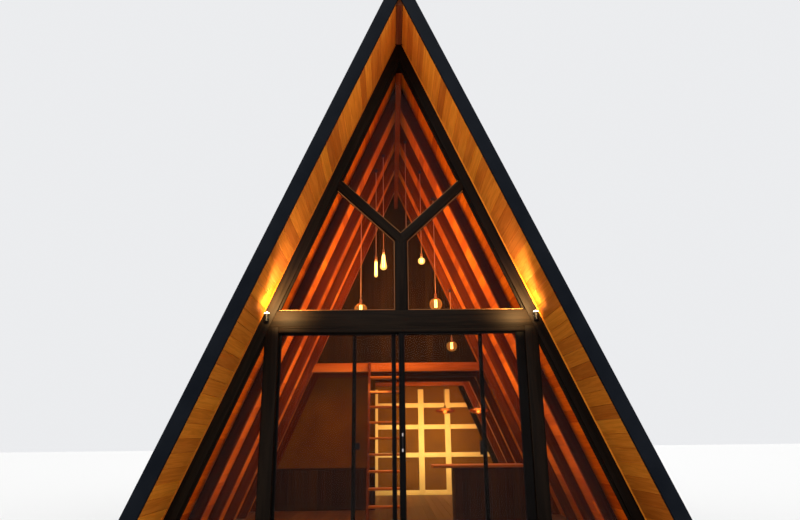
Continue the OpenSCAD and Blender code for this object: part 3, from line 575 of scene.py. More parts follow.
def bars(bm, outer, by, low, high, joint=0.0004, wanted=None):
    """Mitred bars round an outline, by metres wide, on the wanted sides."""
    inner = inset(outer, by)
    for i in range(len(outer)):
        j = (i + 1) % len(outer)
        if wanted and not wanted(outer[i], outer[j]):
            continue
        corners = outer[i], outer[j], inner[j], inner[i]
        middle = (corners[0] + corners[1] + corners[2] + corners[3]) / 4
        prism(bm, [p + (middle - p).normalized() * joint for p in corners], low, high)


RAFTER, HAIRLINE = 0.14, 0.00005
GABLE_IN = -RAFTER - HAIRLINE
ARM, ARM_TILT = 0.105, math.radians(43.5)
BEAD, LIP, LIP_SET, FRAME_GAP = 0.020, 0.007, 0.006, 0.0001
tie_low, tie_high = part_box("tie_beams")
front_y, mid_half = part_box("central_post")[0].y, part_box("central_post")[1].x
post_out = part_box("door_post_right")[1].x


def on_gable(x=None, z=None):
    """A point on the gable rafters' inner face."""
    return Vector((x, edge_z(GABLE_IN, x))) if z is None else Vector((edge_x(GABLE_IN, z), z))


arm_foot = Vector((0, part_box("arm_right")[0].z))
arm_top = arm_foot + Vector((0, ARM / math.cos(ARM_TILT)))
reach = Vector((1, math.tan(ARM_TILT)))
arm_foot_end, arm_top_end = (meet(start, start + reach, on_gable(z=0), on_gable(x=0))
                             for start in (arm_foot, arm_top))
kite = [arm_top, arm_top_end, on_gable(x=0), Vector((-arm_top_end.x, arm_top_end.y))]
lower = [Vector((mid_half, tie_high.z)), on_gable(z=tie_high.z), arm_foot_end, arm_foot + reach * mid_half]
flank = [Vector((post_out, floor_top)), on_gable(z=floor_top), on_gable(x=post_out)]
openings = {"kite_window_frame": [kite], "lower_window_frames": [lower, mirrored(lower)],
            "side_window_frames": [flank, mirrored(flank)]}
frame_low, frame_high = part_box("kite_window_frame")


def beads(name, outlines, material, wanted, seed):
    """The narrow beads that hold the glass, on the wanted sides of these openings."""
    bm = bmesh.new()
    for outline in outlines:
        bars(bm, inset(outline, BEAD - LIP), LIP, frame_low.y + LIP_SET, frame_high.y - LIP_SET,
             wanted=wanted)
    piece(name, bm, material, "dark_timber", edge=0.001, seed=seed)


# The beads on the level sides and the arms are in a lighter wood that paints the light they catch; the beads
# on the slopes and round the side windows stay in the dark timber.
bead_wood_painted_lit = wood("glazing_beads_painted_lit", [(0.2, (0.22, 0.08, 0.018)), (0.8, (0.4, 0.17, 0.045))], (0.35, 0.5),
                 spread=0.1, Specular_IOR_Level=0.2)
for node, outlines in openings.items():
    bm = bmesh.new()
    for outline in outlines:
        bars(bm, inset(outline, FRAME_GAP), BEAD - LIP, frame_low.y, frame_high.y)
    piece(node + "_bars", bm, dark_wood, "dark_timber", edge=0.0025, seed=len(node), replaces=[node])
    if node == "side_window_frames":
        beads(node + "_dark_beads", outlines, dark_wood, None, len(node) + 1)
    else:
        beads(node + "_dark_beads", outlines, dark_wood, sloping, len(node) + 1)
        beads(node + "_waxed_beads", outlines, bead_wood_painted_lit, level_or_arm, len(node) + 2)


def glass(name, colour, shadow, wave, strength, depth, **surface):
    """Wavy glass that bends what is seen and lets the lamps' light straight through in a tint."""
    made, tree, shader, place = finish(name, Base_Color=(*colour, 1), Roughness=0.0, Transmission_Weight=1.0,
                                       **surface)
    feed(tree, shader, {"Normal": relief(tree, noise(tree, place, wave, 1.0), strength, depth)})
    clear = add(tree, "ShaderNodeBsdfTransparent", {"Color": (*shadow, 1)}).outputs[0]
    shadow_ray = add(tree, "ShaderNodeLightPath").outputs["Is Shadow Ray"]
    both = add(tree, "ShaderNodeMixShader", {0: shadow_ray, 1: shader.outputs[0], 2: clear}).outputs[0]
    feed(tree, tree.nodes["Material Output"], {"Surface": both})
    return made


SHEET, SEAL_GAP, SEAL_IN = 0.01, 0.0002, 0.0005
clear_glass = glass("clear_glass", (0.97, 0.985, 0.975), (0.44, 0.42, 0.38), 1.3, 0.04, 0.004, IOR=1.12,
                    Specular_IOR_Level=0.3)
gasket = painted("gasket_rubber", (0.006, 0.006, 0.006), 0.65, (0.03, 0.03, 0.03), Specular_IOR_Level=0.1)


def glazed(name, outlines, low, high, replaces, body="house", seal=0.006):
    """One thick sheet in each opening, half-way through its room, held by a gasket on both faces."""
    sheets, seals = bmesh.new(), bmesh.new()
    near, far = (low + high - SHEET) / 2, (low + high + SHEET) / 2
    for outline in outlines:
        prism(sheets, outline, near, far)
        for a, b in ((low, near - SEAL_GAP), (far + SEAL_GAP, high)):
            bars(seals, inset(outline, SEAL_IN), seal, a, b, joint=0.0)
    piece(name + "_sheets", sheets, clear_glass, "glazing", body, edge=0, replaces=replaces)
    piece(name + "_gaskets", seals, gasket, "door_frame_coat", body, edge=0.0015)


pane_low, pane_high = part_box("window_panes")
glazed("window_pane", [inset(o, BEAD) for group in openings.values() for o in group], pane_low.y, pane_high.y,
       ["window_panes"], seal=0.003)


# Soffit beads: a small rounded softwood bead, pinned along the corner between each gable frame and
# the soffit, from the floor to the ridge beam.
QUAD, BEAD_GAP, FOOT_GAP, RIDGE_GAP = 0.014, 0.0003, 0.0005, 0.001
ridge_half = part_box("ridge_beam")[1].x
bead_heights = (floor_top + FOOT_GAP, edge_z(-QUAD, ridge_half + RIDGE_GAP))
bead_outline = [(edge_x(-BEAD_GAP, z), z) for z in bead_heights]
bead_outline += [(edge_x(-QUAD, z), z) for z in reversed(bead_heights)]
for name, near, far in (("front_soffit_beads", front_y - QUAD, front_y - BEAD_GAP),
                        ("back_soffit_beads", BEAD_GAP - front_y, QUAD - front_y)):
    bm = bmesh.new()
    for side in (-1, 1):
        prism(bm, [(side * x, z) for x, z in bead_outline], near, far)
    piece(name, bm, lining_wood, "soffit_boards", edge=0.004, steps=3)


# Glazed doors: slim dark aluminium frames. The left panel is fixed; the right leaf slides in front
# of it on steel wheels. A black pull with bright steel ends stands on its narrow meeting stile.
def sheets_of(node):
    """The lowest and highest corner of each solid in a CAD node, from left to right."""
    bm = copied(node)
    found = []
    for part in solids(bm):
        places = list(zip(*(vert.co for face in part for vert in face.verts)))
        found.append((Vector([min(c) for c in places]), Vector([max(c) for c in places])))
    bm.free()
    return sorted(found, key=lambda sheet: sheet[0].x)


def rectangle(x0, x1, z0, z1):
    """An upright oblong, seen from the front."""
    return [Vector((x0, z0)), Vector((x1, z0)), Vector((x1, z1)), Vector((x0, z1))]


def stile_and_rail(node, lights, body):
    """A door frame round its lights: full-height stiles, and rails and mullions between them."""
    low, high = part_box(node)
    first, last = lights[0][0], lights[-1][1]
    members = [(low.x, first.x, low.z, high.z), (last.x, high.x, low.z, high.z),
               (first.x, last.x, low.z, first.z), (first.x, last.x, last.z, high.z)]
    members += [(one[1].x, two[0].x, first.z, last.z) for one, two in zip(lights, lights[1:])]
    bm = bmesh.new()
    for member in members:
        prism(bm, rectangle(*member), low.y, high.y)
    piece(node + "_bars", bm, frame_coat, "door_frame_coat", body, edge=0.002, replaces=[node])


def shown(node, material):
    """A CAD node that is seen as it is, in this finish."""
    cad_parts[node].data.materials.clear()
    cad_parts[node].data.materials.append(material)


def turned(bm, profile, centre, axis, steps):
    """A solid turned round an axis through centre, from the (radius, height) points of its outline."""
    rings, faces = [], []
    for radius, height in profile:
        ring = []
        for k in range(steps if radius > 1e-6 else 1):
            turn = 2 * math.pi * k / steps
            a, b = radius * math.cos(turn), radius * math.sin(turn)
            ring.append(bm.verts.new(centre + Vector((a, b, height) if axis == "z" else (a, height, b))))
        rings.append(ring)
    for one, two in zip(rings, rings[1:]):
        for k in range(steps):
            corners = [one[k % len(one)], one[(k + 1) % steps % len(one)],
                       two[(k + 1) % steps % len(two)], two[k % len(two)]]
            corners = list(dict.fromkeys(corners))
            if len(corners) > 2:
                faces.append(bm.faces.new(corners))
    bmesh.ops.recalc_face_normals(bm, faces=faces)


def lathed(name, material, shapes, replaces=(), smooth=40, body="house", steps=28):
    """One piece from (outline, centre, axis) shapes that are turned."""
    bm = bmesh.new()
    for profile, centre, axis in shapes:
        turned(bm, profile, centre, axis, steps)
    return seated(name, meshed(name, bm), material, body, replaces, smooth)


frame_coat = coated_metal("dark_anodised", (0.0028, 0.0022, 0.002), 0.42, dirt=0.04, Specular_IOR_Level=0.03)
steel = coated_metal("bright_steel", (0.62, 0.62, 0.6), 0.24, dirt=0.08, along=(1, 1, 8), Metallic=1.0)
black = painted("black_hardware", (0.006, 0.006, 0.0065), 0.42, (0.04, 0.04, 0.04), Specular_IOR_Level=0.15)
for panel, body in (("fixed_door", "house"), ("sliding_door", "glass_door")):
    lights = sheets_of(panel + "_pane")
    stile_and_rail(panel + "_frame", lights, body)
    glazed(panel + "_pane", [rectangle(low.x, high.x, low.z, high.z) for low, high in lights],
           lights[0][0].y, lights[0][1].y, [panel + "_pane"], body)
shown("door_rails", steel)

PULL_R, GRIP_SET, PULL_END, PULL_CHAMFER = 0.009, 0.0005, 0.036, 0.002
PULL_ARM_R, PULL_ARM_IN = 0.007, 0.025
AXLE_R, BOSS, CHAMFER = 0.004, 0.004, 0.001
pull, *wheels = sheets_of("sliding_door_fittings")
foot = Vector(((pull[0].x + pull[1].x) / 2, pull[0].y + PULL_R, pull[0].z))
tall, arm_length = pull[1].z - pull[0].z, pull[1].y - foot.y
grip_r = PULL_R - GRIP_SET
grip = [(0, PULL_END), (grip_r, PULL_END), (grip_r, tall - PULL_END), (0, tall - PULL_END)]
lathed("door_pull_grip", black, [(grip, foot, "z")], ["sliding_door_fittings"],
       body="glass_door")
bright = []
for base, way in ((0, 1), (tall, -1)):
    cap = [(0, 0), (PULL_R - PULL_CHAMFER, 0), (PULL_R, PULL_CHAMFER), (PULL_R, PULL_END), (0, PULL_END)]
    bright.append(([(r, base + way * z) for r, z in cap[::way]], foot, "z"))
    arm = [(0, 0), (PULL_ARM_R, 0), (PULL_ARM_R, arm_length), (0, arm_length)]
    bright.append((arm, foot + UP * (base + way * PULL_ARM_IN), "y"))
for low, high in wheels:
    wheel_r, width = (high.z - low.z) / 2, high.y - low.y
    half = [(0, 0), (AXLE_R, 0), (AXLE_R, BOSS), (wheel_r - CHAMFER, BOSS), (wheel_r, BOSS + CHAMFER)]
    tread = half + [(r, width - y) for r, y in reversed(half)]
    bright.append((tread, Vector(((low.x + high.x) / 2, low.y, (low.z + high.z) / 2)), "y"))
lathed("door_pull_ends_and_wheels", steel, bright, body="glass_door")


# Insect screen: a woven dark mesh in a slim frame on the inner track, with a black lock case on
# one stile and a grip on the other.
def mesh_cloth(name):
    """Fine woven mesh that dims what is behind it."""
    made, tree, shader, place = finish(name, Roughness=0.8, Alpha=0.12, Specular_IOR_Level=0.1)
    weave = add(tree, "ShaderNodeTexChecker", {
        "Vector": place, "Scale": 800.0, "Color1": (0.01, 0.01, 0.01, 1), "Color2": (0.025, 0.025, 0.025, 1)})
    feed(tree, shader, {"Base Color": weave.outputs["Color"]})
    return made


stile_and_rail("screen_frame", sheets_of("screen_mesh"), "screen_door")
shown("screen_mesh", mesh_cloth("insect_mesh"))
shown("screen_fittings", black)


# Back wall: dark upright boards outside on framing, plastered in warm ochre inside, with a
# cream-painted grid of posts and rails on the room side below the loft.
def plaster(name, light, dark):
    """Trowelled lime plaster with soft clouds and fine pits."""
    made, tree, shader, place = finish(name, Roughness=0.85, Specular_IOR_Level=0.15)
    cloud = noise(tree, place, 2.2, 8.0, Roughness=0.6)
    pits = noise(tree, place, 120.0, 4.0)
    feed(tree, shader, {"Base Color": ramp(tree, cloud, [(0.3, dark), (0.7, light)]),
                        "Normal": relief(tree, mixed(tree, 0.35, cloud, pits), 0.35, 0.004)})
    return made


def set_back(node, face_y, way):
    """The solids of a CAD node with the face at face_y moved in, to leave room for boards on it."""
    bm, near = copied(node), 0.001
    for vert in bm.verts:
        if abs(vert.co.y - face_y) < near:
            vert.co.y = face_y + way * SKIN
    return bm


SKIN, WALL_ROWS = 0.022, 38
wall_wood = wood("dark_wall_boards", [(0.15, (0.009, 0.005, 0.0015)), (0.5, (0.024, 0.0125, 0.0034)),
                                      (0.85, (0.046, 0.024, 0.0066))], (0.45, 0.7), Specular_IOR_Level=0.1)
ochre = plaster("ochre_plaster", (0.17, 0.066, 0.006), (0.105, 0.039, 0.004))
cream = painted("cream_paint", (0.8, 0.57, 0.2), 0.5, brush=(1, 1, 0.2), Specular_IOR_Level=0.2)
back_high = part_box("back_wall")[1]
wall_half = edge_x(GABLE_IN, floor_top)
piece("back_wall_plaster", set_back("back_wall", back_high.y, -1), ochre, "ochre_plaster", edge=0,
      replaces=["back_wall"])
for part, foot, top, seed in (("lower", floor_top, tie_low.z, 21), ("upper", tie_high.z, back_high.z, 22)):
    boarded("back_wall_" + part + "_boards", (wall_half, back_high.y, foot), -ACROSS, UP, wall_wood,
            WALL_ROWS, 2 * wall_half, top - foot, SKIN, seed=seed, cuts=slope_cuts(GABLE_IN))
for node in ("back_wall_posts", "back_wall_rails"):
    dressed(node, "_timber", cream, "pale_timber")


# Loft: a deck of planks on the joists, and an upright-boarded wall that closes the room behind,
# notched round the ridge beam and scribed to the linings.
decked("loft_deck_planks", "loft_deck", rows=22, lengths=2, seed=31, out=GABLE_IN)
loft_low, loft_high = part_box("loft_wall")
piece("loft_wall_studs", set_back("loft_wall", loft_low.y, 1), wall_wood, "wall_boards", edge=0,
      replaces=["loft_wall"])
boarded("loft_wall_boards", loft_low, ACROSS, UP, wall_wood, 25, loft_high.x - loft_low.x,
        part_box("ridge_beam")[0].z - loft_low.z, SKIN, seed=33, cuts=slope_cuts(-HAIRLINE))


# Partition: a plastered panel below the loft, left of the stair, with a dado of dark upright boards
# under a moulded cap rail.
panel_boards = wood("dark_panel_boards", [(0.2, (0.016, 0.0048, 0.0012)), (0.8, (0.046, 0.0148, 0.0034))],
                    (0.4, 0.6), Specular_IOR_Level=0.1)
DADO_TOP, DADO_T, DADO_GAP, DADO_ROWS = 1.055, 0.012, 0.0005, 16
CAP_T, CAP_OUT, CAP_GAP, NOSE_UP, FOOT_OUT = 0.028, 0.03, 0.001, 0.012, 0.016
dressed("lower_partition", "_plaster", ochre, "ochre_plaster", edge=0.004)
part_low, part_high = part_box("lower_partition")
boarded("dado_boards", part_low - BACK * DADO_T, ACROSS, UP, panel_boards, DADO_ROWS,
        part_high.x - part_low.x, DADO_TOP - part_low.z, DADO_T - DADO_GAP, seed=51,
        cuts=slope_cuts(GABLE_IN))
bm = bmesh.new()
moulding = [(DADO_GAP, 0), (DADO_GAP, CAP_T), (CAP_OUT, CAP_T), (CAP_OUT, NOSE_UP), (FOOT_OUT, 0)]
prism(bm, [(part_low.y - out, DADO_TOP + up) for out, up in moulding],
      CAP_T * SLOPE - edge_x(-RAFTER - CAP_GAP, DADO_TOP), part_high.x, axis="x")
piece("dado_cap_rail", bm, panel_boards, "kitchen_front", seed=52)


# Ladder stair: thick treads let into grooves in two leaning strings, open between the treads.
# The strings are of the rafters' hardwood, and the oiled treads have well rounded edges.
stair_wood = wood("oiled_stair_timber", [(0.15, (0.2, 0.06, 0.011)), (0.5, (0.38, 0.13, 0.025)),
                                         (0.85, (0.52, 0.2, 0.042))], (0.35, 0.55), spread=0.15,
                  Specular_IOR_Level=0.2)
dressed("stair_stringers", "_timber", rafter_wood, "stair_timber", edge=0.004, seed=5)
dressed("stair_treads", "_timber", stair_wood, "stair_timber", edge=0.012, seed=5)


# Kitchen unit: a carcass with upright dark boards towards the front and three doors with steel pulls
# on its back, below a thick oiled worktop that runs on as a bar.
worktop_wood = wood("oiled_worktop", [(0.15, (0.2, 0.07, 0.016)), (0.85, (0.4, 0.165, 0.045))], (0.35, 0.55),
                    Specular_IOR_Level=0.2)
unit_low, unit_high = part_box("kitchen_unit")
piece("kitchen_unit_carcass", set_back("kitchen_unit", unit_low.y, 1), panel_boards, "kitchen_front",
      edge=0.002, replaces=["kitchen_unit"])
boarded("kitchen_unit_boards", unit_low, ACROSS, UP, panel_boards, 10,
        unit_high.x - unit_low.x, unit_high.z - unit_low.z, SKIN, seed=61, bevel=0.004)
dressed("kitchen_doors", "_timber", panel_boards, "kitchen_front", edge=0.004, seed=7)
dressed("kitchen_worktop", "_timber", worktop_wood, "worktop_wood", edge=0.004, seed=7)
BAR_R, BAR_HALF, BAR_OUT, BAR_DOWN, STUD_R, STUD_AT = 0.005, 0.08, 0.028, 0.05, 0.004, 0.06
stud = [(0, 0), (STUD_R, 0), (STUD_R, BAR_OUT - STUD_R), (0, BAR_OUT - STUD_R)]
twelfths = [k * math.pi / 6 for k in range(12)]
bm = bmesh.new()
for low, high in sheets_of("kitchen_doors"):
    middle = Vector(((low.x + high.x) / 2, high.y, high.z - BAR_DOWN))
    for side in (-1, 1):
        turned(bm, stud, middle + ACROSS * side * STUD_AT, "y", steps=12)
    bar = [(middle.y + BAR_OUT + BAR_R * math.cos(a), middle.z + BAR_R * math.sin(a)) for a in twelfths]
    prism(bm, bar, middle.x - BAR_HALF, middle.x + BAR_HALF, axis="x")
piece("kitchen_door_pulls", bm, steel, "bright_steel", edge=0)


# Lamps: six bulbs hang at different heights in the hall, one hangs by the loft and two, in flattened
# glass shades, hang below the loft's edge beam. Each flex has a braided textile cover, leaves a black
# steel hook or rose and ends in a brass holder.
def braid(name, dark, light):
    """Textile braid: two families of fine threads that cross round the flex."""
    made, tree, shader, place = finish(name, Roughness=0.85, Sheen_Weight=0.25)
    threads = [vector_calc(tree, "DOT_PRODUCT", place, (1500.0, 1500.0, rise)) for rise in (1150.0, -1150.0)]
    woven = calc(tree, "MULTIPLY", *(calc(tree, "SINE", thread) for thread in threads))
    raised = between(tree, woven, 0.0, 1.0, start=-1.0)
    feed(tree, shader, {"Base Color": ramp(tree, raised, [(0.2, dark), (0.75, light)]),
                        "Normal": relief(tree, raised, 0.5, 0.0006)})
    return made


def cast_metal(name, colour, rough, **surface):
    """Turned or cast metal with fine marks and a slightly uneven sheen."""
    made, tree, shader, place = finish(name, **surface)
    cloud, marks = noise(tree, place, 45.0, 5.0), noise(tree, place, 900.0, 2.0)
    worn = tuple(min(1.0, c * 1.25 + 0.01) for c in colour)
    feed(tree, shader, {"Base Color": ramp(tree, cloud, [(0.35, colour), (0.7, worn)]),
                        "Roughness": between(tree, cloud, rough - 0.08, rough + 0.14),
                        "Normal": relief(tree, marks, 0.12, 0.0004)})
    return made


def lamp_glass(name, colour, glow, tint):
    """Blown glass that glows a little in its own tint; on a bulb the glow is the lamp's own, on a shade it is
    painted light.
    """
    return glass(name, colour, colour, 30.0, 0.08, 0.002, IOR=1.4, Emission_Color=(*tint, 1),
                 Emission_Strength=glow)


def glowing(name, colour, strength):
    """A hot filament or a lit lens, a little uneven from grain to grain."""
    made, tree, shader, place = finish(name, Roughness=0.6, Emission_Color=(*colour, 1),
                                       Emission_Strength=strength)
    stops = [(0.3, (0.85, 0.5, 0.12)), (0.7, (1.0, 0.78, 0.35))]
    feed(tree, shader, {"Base Color": ramp(tree, noise(tree, place, 400.0, 1.0), stops)})
    return made


flex_cover = braid("textile_braid", (0.4, 0.19, 0.085), (0.9, 0.55, 0.31))
dark_cover = braid("dark_textile_braid", (0.01, 0.005, 0.003), (0.05, 0.022, 0.012))
hook_black = cast_metal("black_hook_steel", (0.012, 0.012, 0.013), 0.45, Specular_IOR_Level=0.3)
brass = cast_metal("aged_brass", (0.45, 0.27, 0.09), 0.32, Metallic=1.0)
filament = glowing("filament_glow", (1.0, 0.68, 0.26), 9.0)
amber_glass = lamp_glass("amber_bulb_glass", (1.0, 0.82, 0.5), 0.09, (1.0, 0.4, 0.07))
bright_glass = lamp_glass("bright_bulb_glass", (1.0, 0.86, 0.55), 0.4, (1.0, 0.58, 0.16))
# The shade's glass glows faintly red: painted light from the bulb inside it.
shade_glass_painted_glow = lamp_glass("red_shade_glass", (0.8, 0.3, 0.14), 0.035, (1.0, 0.2, 0.03))

FLEX, FLEX_END, NECK, BULB_WALL, ROD_R = 0.010, 0.070, 0.015, 0.0012, 0.0024
HALL_Y, LOFT_Y, BEAM_Y, HANG_OUT, GRIP_DOWN = -2.32, -0.12, -0.05, 0.03, 0.04
HOOK_IN, BEAM_ROSE = -0.07, 2.825
SHADE_R, SHADE_FLAT, SHADE_WALL, SHADE_DROP = 0.18, 0.052, 0.004, 0.047

# A bulb's radius, its height where it isn't a globe, its glass, and its filament's rods with the
# radius of their ring and the heights of their top and foot
bulbs = {
    "globe": (0.100, None, amber_glass, 6, 0.019, -0.045, -0.170),
    "small_globe": (0.057, None, bright_glass, 6, 0.019, -0.0321, -0.10335),
    "inner_globe": (0.030, None, bright_glass, 4, 0.011, -0.01, -0.046),
    "tube": (0.028, 0.290, bright_glass, 6, 0.014, -0.035, -0.262),
    "pear": (0.055, 0.290, bright_glass, 6, 0.019, -0.04, -0.25)}
routes = [
    ("hall_lamp_1", -0.60, HALL_Y, "globe", [0, -0.20, -0.42, -0.64, -0.87, -1.11, -1.35, -1.59]),
    ("hall_lamp_2", -0.36, HALL_Y, "tube", [0, -0.20, -0.40, -0.61, -0.82, -1.03, -1.24, -1.45]),
    ("hall_lamp_3", -0.24, HALL_Y, "pear", [0, -0.22, -0.44, -0.67, -0.90, -1.13, -1.37, -1.61]),
    ("hall_lamp_4", 0.13, HALL_Y, "tube", [0, -0.22, -0.44, -0.66, -0.89, -1.12, -1.35, -1.58]),
    ("hall_lamp_5", 0.37, HALL_Y, "small_globe", [0, -0.19, -0.38, -0.57, -0.77, -0.97, -1.17, -1.38]),
    ("hall_lamp_6", 0.58, HALL_Y, "globe", [0, -0.22, -0.44, -0.66, -0.88, -1.10, -1.33, -1.56]),
    ("loft_lamp", 1.03, LOFT_Y, "globe", [0, -0.12, -0.24, -0.36, -0.48, -0.60, -0.73, -0.86]),
    ("beam_lamp_1", 0.87, BEAM_Y, "inner_globe", [0, -0.08, -0.16, -0.25, -0.34, -0.43, -0.51, -0.60]),
    ("beam_lamp_2", 1.49, BEAM_Y, "inner_globe", [0, -0.08, -0.16, -0.25, -0.34, -0.43, -0.51, -0.60])]


def arc(radius, flat, middle, start, stop, steps=14):
    """Points of an outline on an arc: radius across, flat in height, between two angles in degrees."""
    turns = [math.radians(start + (stop - start) * i / steps) for i in range(steps + 1)]
    return [(radius * math.cos(turn), middle + flat * math.sin(turn)) for turn in turns]


def hung_flex(name, top, drops, cover):
    """A braided flex that hangs straight down from top, through these drops."""
    line = bpy.data.curves.new(name, "CURVE")
    line.dimensions = "3D"
    line.bevel_depth = FLEX / 2
    line.bevel_resolution = 3
    line.use_fill_caps = True
    spline = line.splines.new("POLY")
    spline.points.add(len(drops) - 1)
    for point, drop in zip(spline.points, drops):
        point.co = (top.x, top.y, top.z + drop, 1)
    line.materials.append(cover)
    made = linked(name, line)
    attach(made, "house")
    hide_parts("lamp_flexes")
    return made


def lamp_holder(name, end, shaded):
    """A brass holder below the flex's end, with a wide rim where it carries a shade."""
    barrel = [(0, 0), (0.0062, 0), (0.0075, -0.002), (0.0075, -0.011), (0.0062, -0.013), (0.0105, -0.0145),
              (0.0165, -0.019), (0.0193, -0.026), (0.02, -0.034), (0.02, -0.041), (0.0186, -0.042),
              (0.0186, -0.0455), (0.02, -0.0465), (0.02, -0.0605)]
    wide = [(0.058, -0.0645), (0.06, -0.0665), (0.06, -0.069), (0.0588, -0.07), (0, -0.07)]
    narrow = [(0.0222, -0.0625), (0.023, -0.064), (0.023, -0.0688), (0.0218, -0.07), (0, -0.07)]
    outline = barrel + (wide if shaded else narrow)
    return lathed(name, brass, [(outline, end, "z")], ["lamp_holders"])


def lamp_bulb(name, kind, seat):
    """A hollow bulb of thin glass, with its ring of filament rods round a brass stem."""
    radius, height, envelope, rods, ring, rod_top, rod_foot = bulbs[kind]
    neck = [(NECK, -0.0001), (NECK, -NECK)]
    if kind == "tube":
        neck.append((radius * 0.86, -NECK - radius * 0.32))
        outline = neck + arc(radius, radius, radius - height, 0, -90)
    elif kind == "pear":
        lean = math.degrees(math.asin((radius - NECK) / (height - radius)))
        outline = neck + arc(radius, radius, radius - height, lean, -90)
    else:
        shoulder = math.degrees(math.acos(NECK / radius)) - 4
        outline = neck + arc(radius, radius, -NECK - radius, shoulder, -90)
    inside = [(max(0.0, r - BULB_WALL), z + BULB_WALL * (r < radius * 0.99))
              for r, z in reversed(outline[1:])]
    outline += inside + [(NECK - BULB_WALL, -0.0001), outline[0]]
    lathed(name + "_bulb", envelope, [(outline, seat, "z")], ["lamp_bulbs"], smooth=60)
    rod = [(0, rod_top), (ROD_R, rod_top - ROD_R), (ROD_R, rod_foot + ROD_R), (0, rod_foot)]
    turns = [2 * math.pi * k / rods for k in range(rods)]
    lathed(name + "_filament", filament,
           [(rod, seat + Vector((math.cos(t) * ring, math.sin(t) * ring, 0)), "z") for t in turns],
           smooth=35, steps=8)
    stem = [(0, -0.001), (0.0085, -0.001), (0.0085, -0.012), (0.004, rod_top + 0.006),
            (0.003, rod_top + 0.001), (0, rod_top + 0.001)]
    lathed(name + "_stem", brass, [(stem, seat, "z")])


def lamp_shade(name, seat):
    """A flattened red glass globe, open above round the holder, with a glowing disc in its floor that paints
    the bulb's reflection there.
    """
    cut_out = math.degrees(math.asin(SHADE_DROP / SHADE_FLAT))
    cut_in = math.degrees(math.asin(SHADE_DROP / (SHADE_FLAT - SHADE_WALL)))
    middle = seat - UP * SHADE_DROP
    # The glowing disc is a painted reflection of the bulb in the shade's floor; it is no lamp.
    reflection_disc = [(0, -0.0415), (0.062, -0.0415), (0.064, -0.0425), (0.062, -0.0438), (0, -0.0438)]
    lathed(name + "_diffuser", bright_glass, [(reflection_disc, middle, "z")])
    shell = arc(SHADE_R, SHADE_FLAT, 0, cut_out, -90, 28) + [(0, SHADE_WALL - SHADE_FLAT)]
    shell += arc(SHADE_R - SHADE_WALL, SHADE_FLAT - SHADE_WALL, 0, -90, cut_in, 28)[1:] + shell[:1]
    lathed(name + "_shade", shade_glass_painted_glow, [(shell, middle, "z")], ["lamp_shades"], smooth=60)


def beam_rose(top):
    """A flat rose under the loft's edge beam."""
    rose = [(0, 0.015), (0.034, 0.015), (0.036, 0.013), (0.036, 0.006), (0.012, 0.0012), (0.012, 0), (0, 0)]
    return [(rose, top, "z")]


def rafter_hook(top, back):
    """A plate with two screws on a rafter, and an arm that holds a grip above the flex."""
    plate = [(0, -0.012), (0.0275, -0.012), (0.03, -0.0095), (0.03, 0), (0, 0)]
    arm = [(0, -0.03), (0.007, -0.03), (0.007, -0.0115), (0, -0.0115)]
    grip = [(0, 0.052), (0.009, 0.052), (0.012, 0.049), (0.012, 0.006), (0.008, 0), (0, 0)]
    screw = [(0, -0.0145), (0.003, -0.014), (0.0048, -0.0118), (0, -0.0118)]
    return [(plate, back, "y"), (arm, back, "y"), (grip, top, "z")] + [
        (screw, back + ACROSS * side * 0.019, "y") for side in (-1, 1)]


hooks = []
for name, x, y, kind, drops in routes:
    shaded = kind == "inner_globe"
    plate_z = edge_z(HOOK_IN, abs(x))
    top = Vector((x, y, BEAM_ROSE if shaded else plate_z - GRIP_DOWN))
    end = top + UP * drops[-1]
    seat = end - UP * FLEX_END
    flex = hung_flex(name + "_flex", top, drops, dark_cover if shaded else flex_cover)
    holder = lamp_holder(name + "_holder", end, shaded)
    lamp_bulb(name, kind, seat)
    if shaded:
        lamp_shade(name, seat)
    hooks += beam_rose(top) if shaded else rafter_hook(top, Vector((x, y + HANG_OUT, plate_z)))
lathed("lamp_hooks_steel", hook_black, hooks, ["lamp_hooks"], smooth=30)


# Spotlights: small black cans with cooling rings and a bright rim, on stub arms at the ends of the
# tie beam. Each shines up the soffit through a frosted lens.
lens_glow = glowing("lens_glow", (1.0, 0.84, 0.6), 6.0)
spot_low, spot_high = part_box("spotlights")
CAN, STUB = 0.032, 0.05
tall = spot_high.z - spot_low.z
can = [(0, 0), (0.025, 0), (0.028, 0.003)]
for k in range(5):
    ring = 0.012 + k * 0.011
    can += [(0.028, ring), (0.0305, ring + 0.001), (0.0305, ring + 0.005), (0.028, ring + 0.006)]
can += [(0.028, tall - 0.034), (CAN, tall - 0.03), (CAN, tall - 0.0175), (0, tall - 0.0175)]
trim = [(0.0295, tall - 0.0075), (0.0318, tall - 0.0075), (0.0318, tall - 0.001), (0.0308, tall),
        (0.0305, tall), (0.0295, tall - 0.001), (0.0295, tall - 0.0075)]
lens = [(0, tall - 0.017), (0.0305, tall - 0.017), (0.0305, tall - 0.008), (0.029, tall - 0.0078),
        (0.029, tall - 0.003), (0.025, tall - 0.001), (0, tall - 0.0005)]
stub = [(0, 0.02), (0.0125, 0.02), (0.014, 0.022), (0.014, 0.042), (0.024, 0.044), (0.024, 0.0497),
        (0, 0.0497)]
feet = [Vector((side * (spot_high.x - CAN), spot_high.y - STUB, spot_low.z)) for side in (-1, 1)]
cans = [(can, foot, "z") for foot in feet] + [(stub, foot + UP * tall / 2, "y") for foot in feet]
lathed("spotlight_cans", black, cans, ["spotlights"], smooth=30)
lathed("spotlight_trims", steel, [(trim, foot, "z") for foot in feet], smooth=30)
lathed("spotlight_lenses", lens_glow, [(lens, foot, "z") for foot in feet], smooth=30)


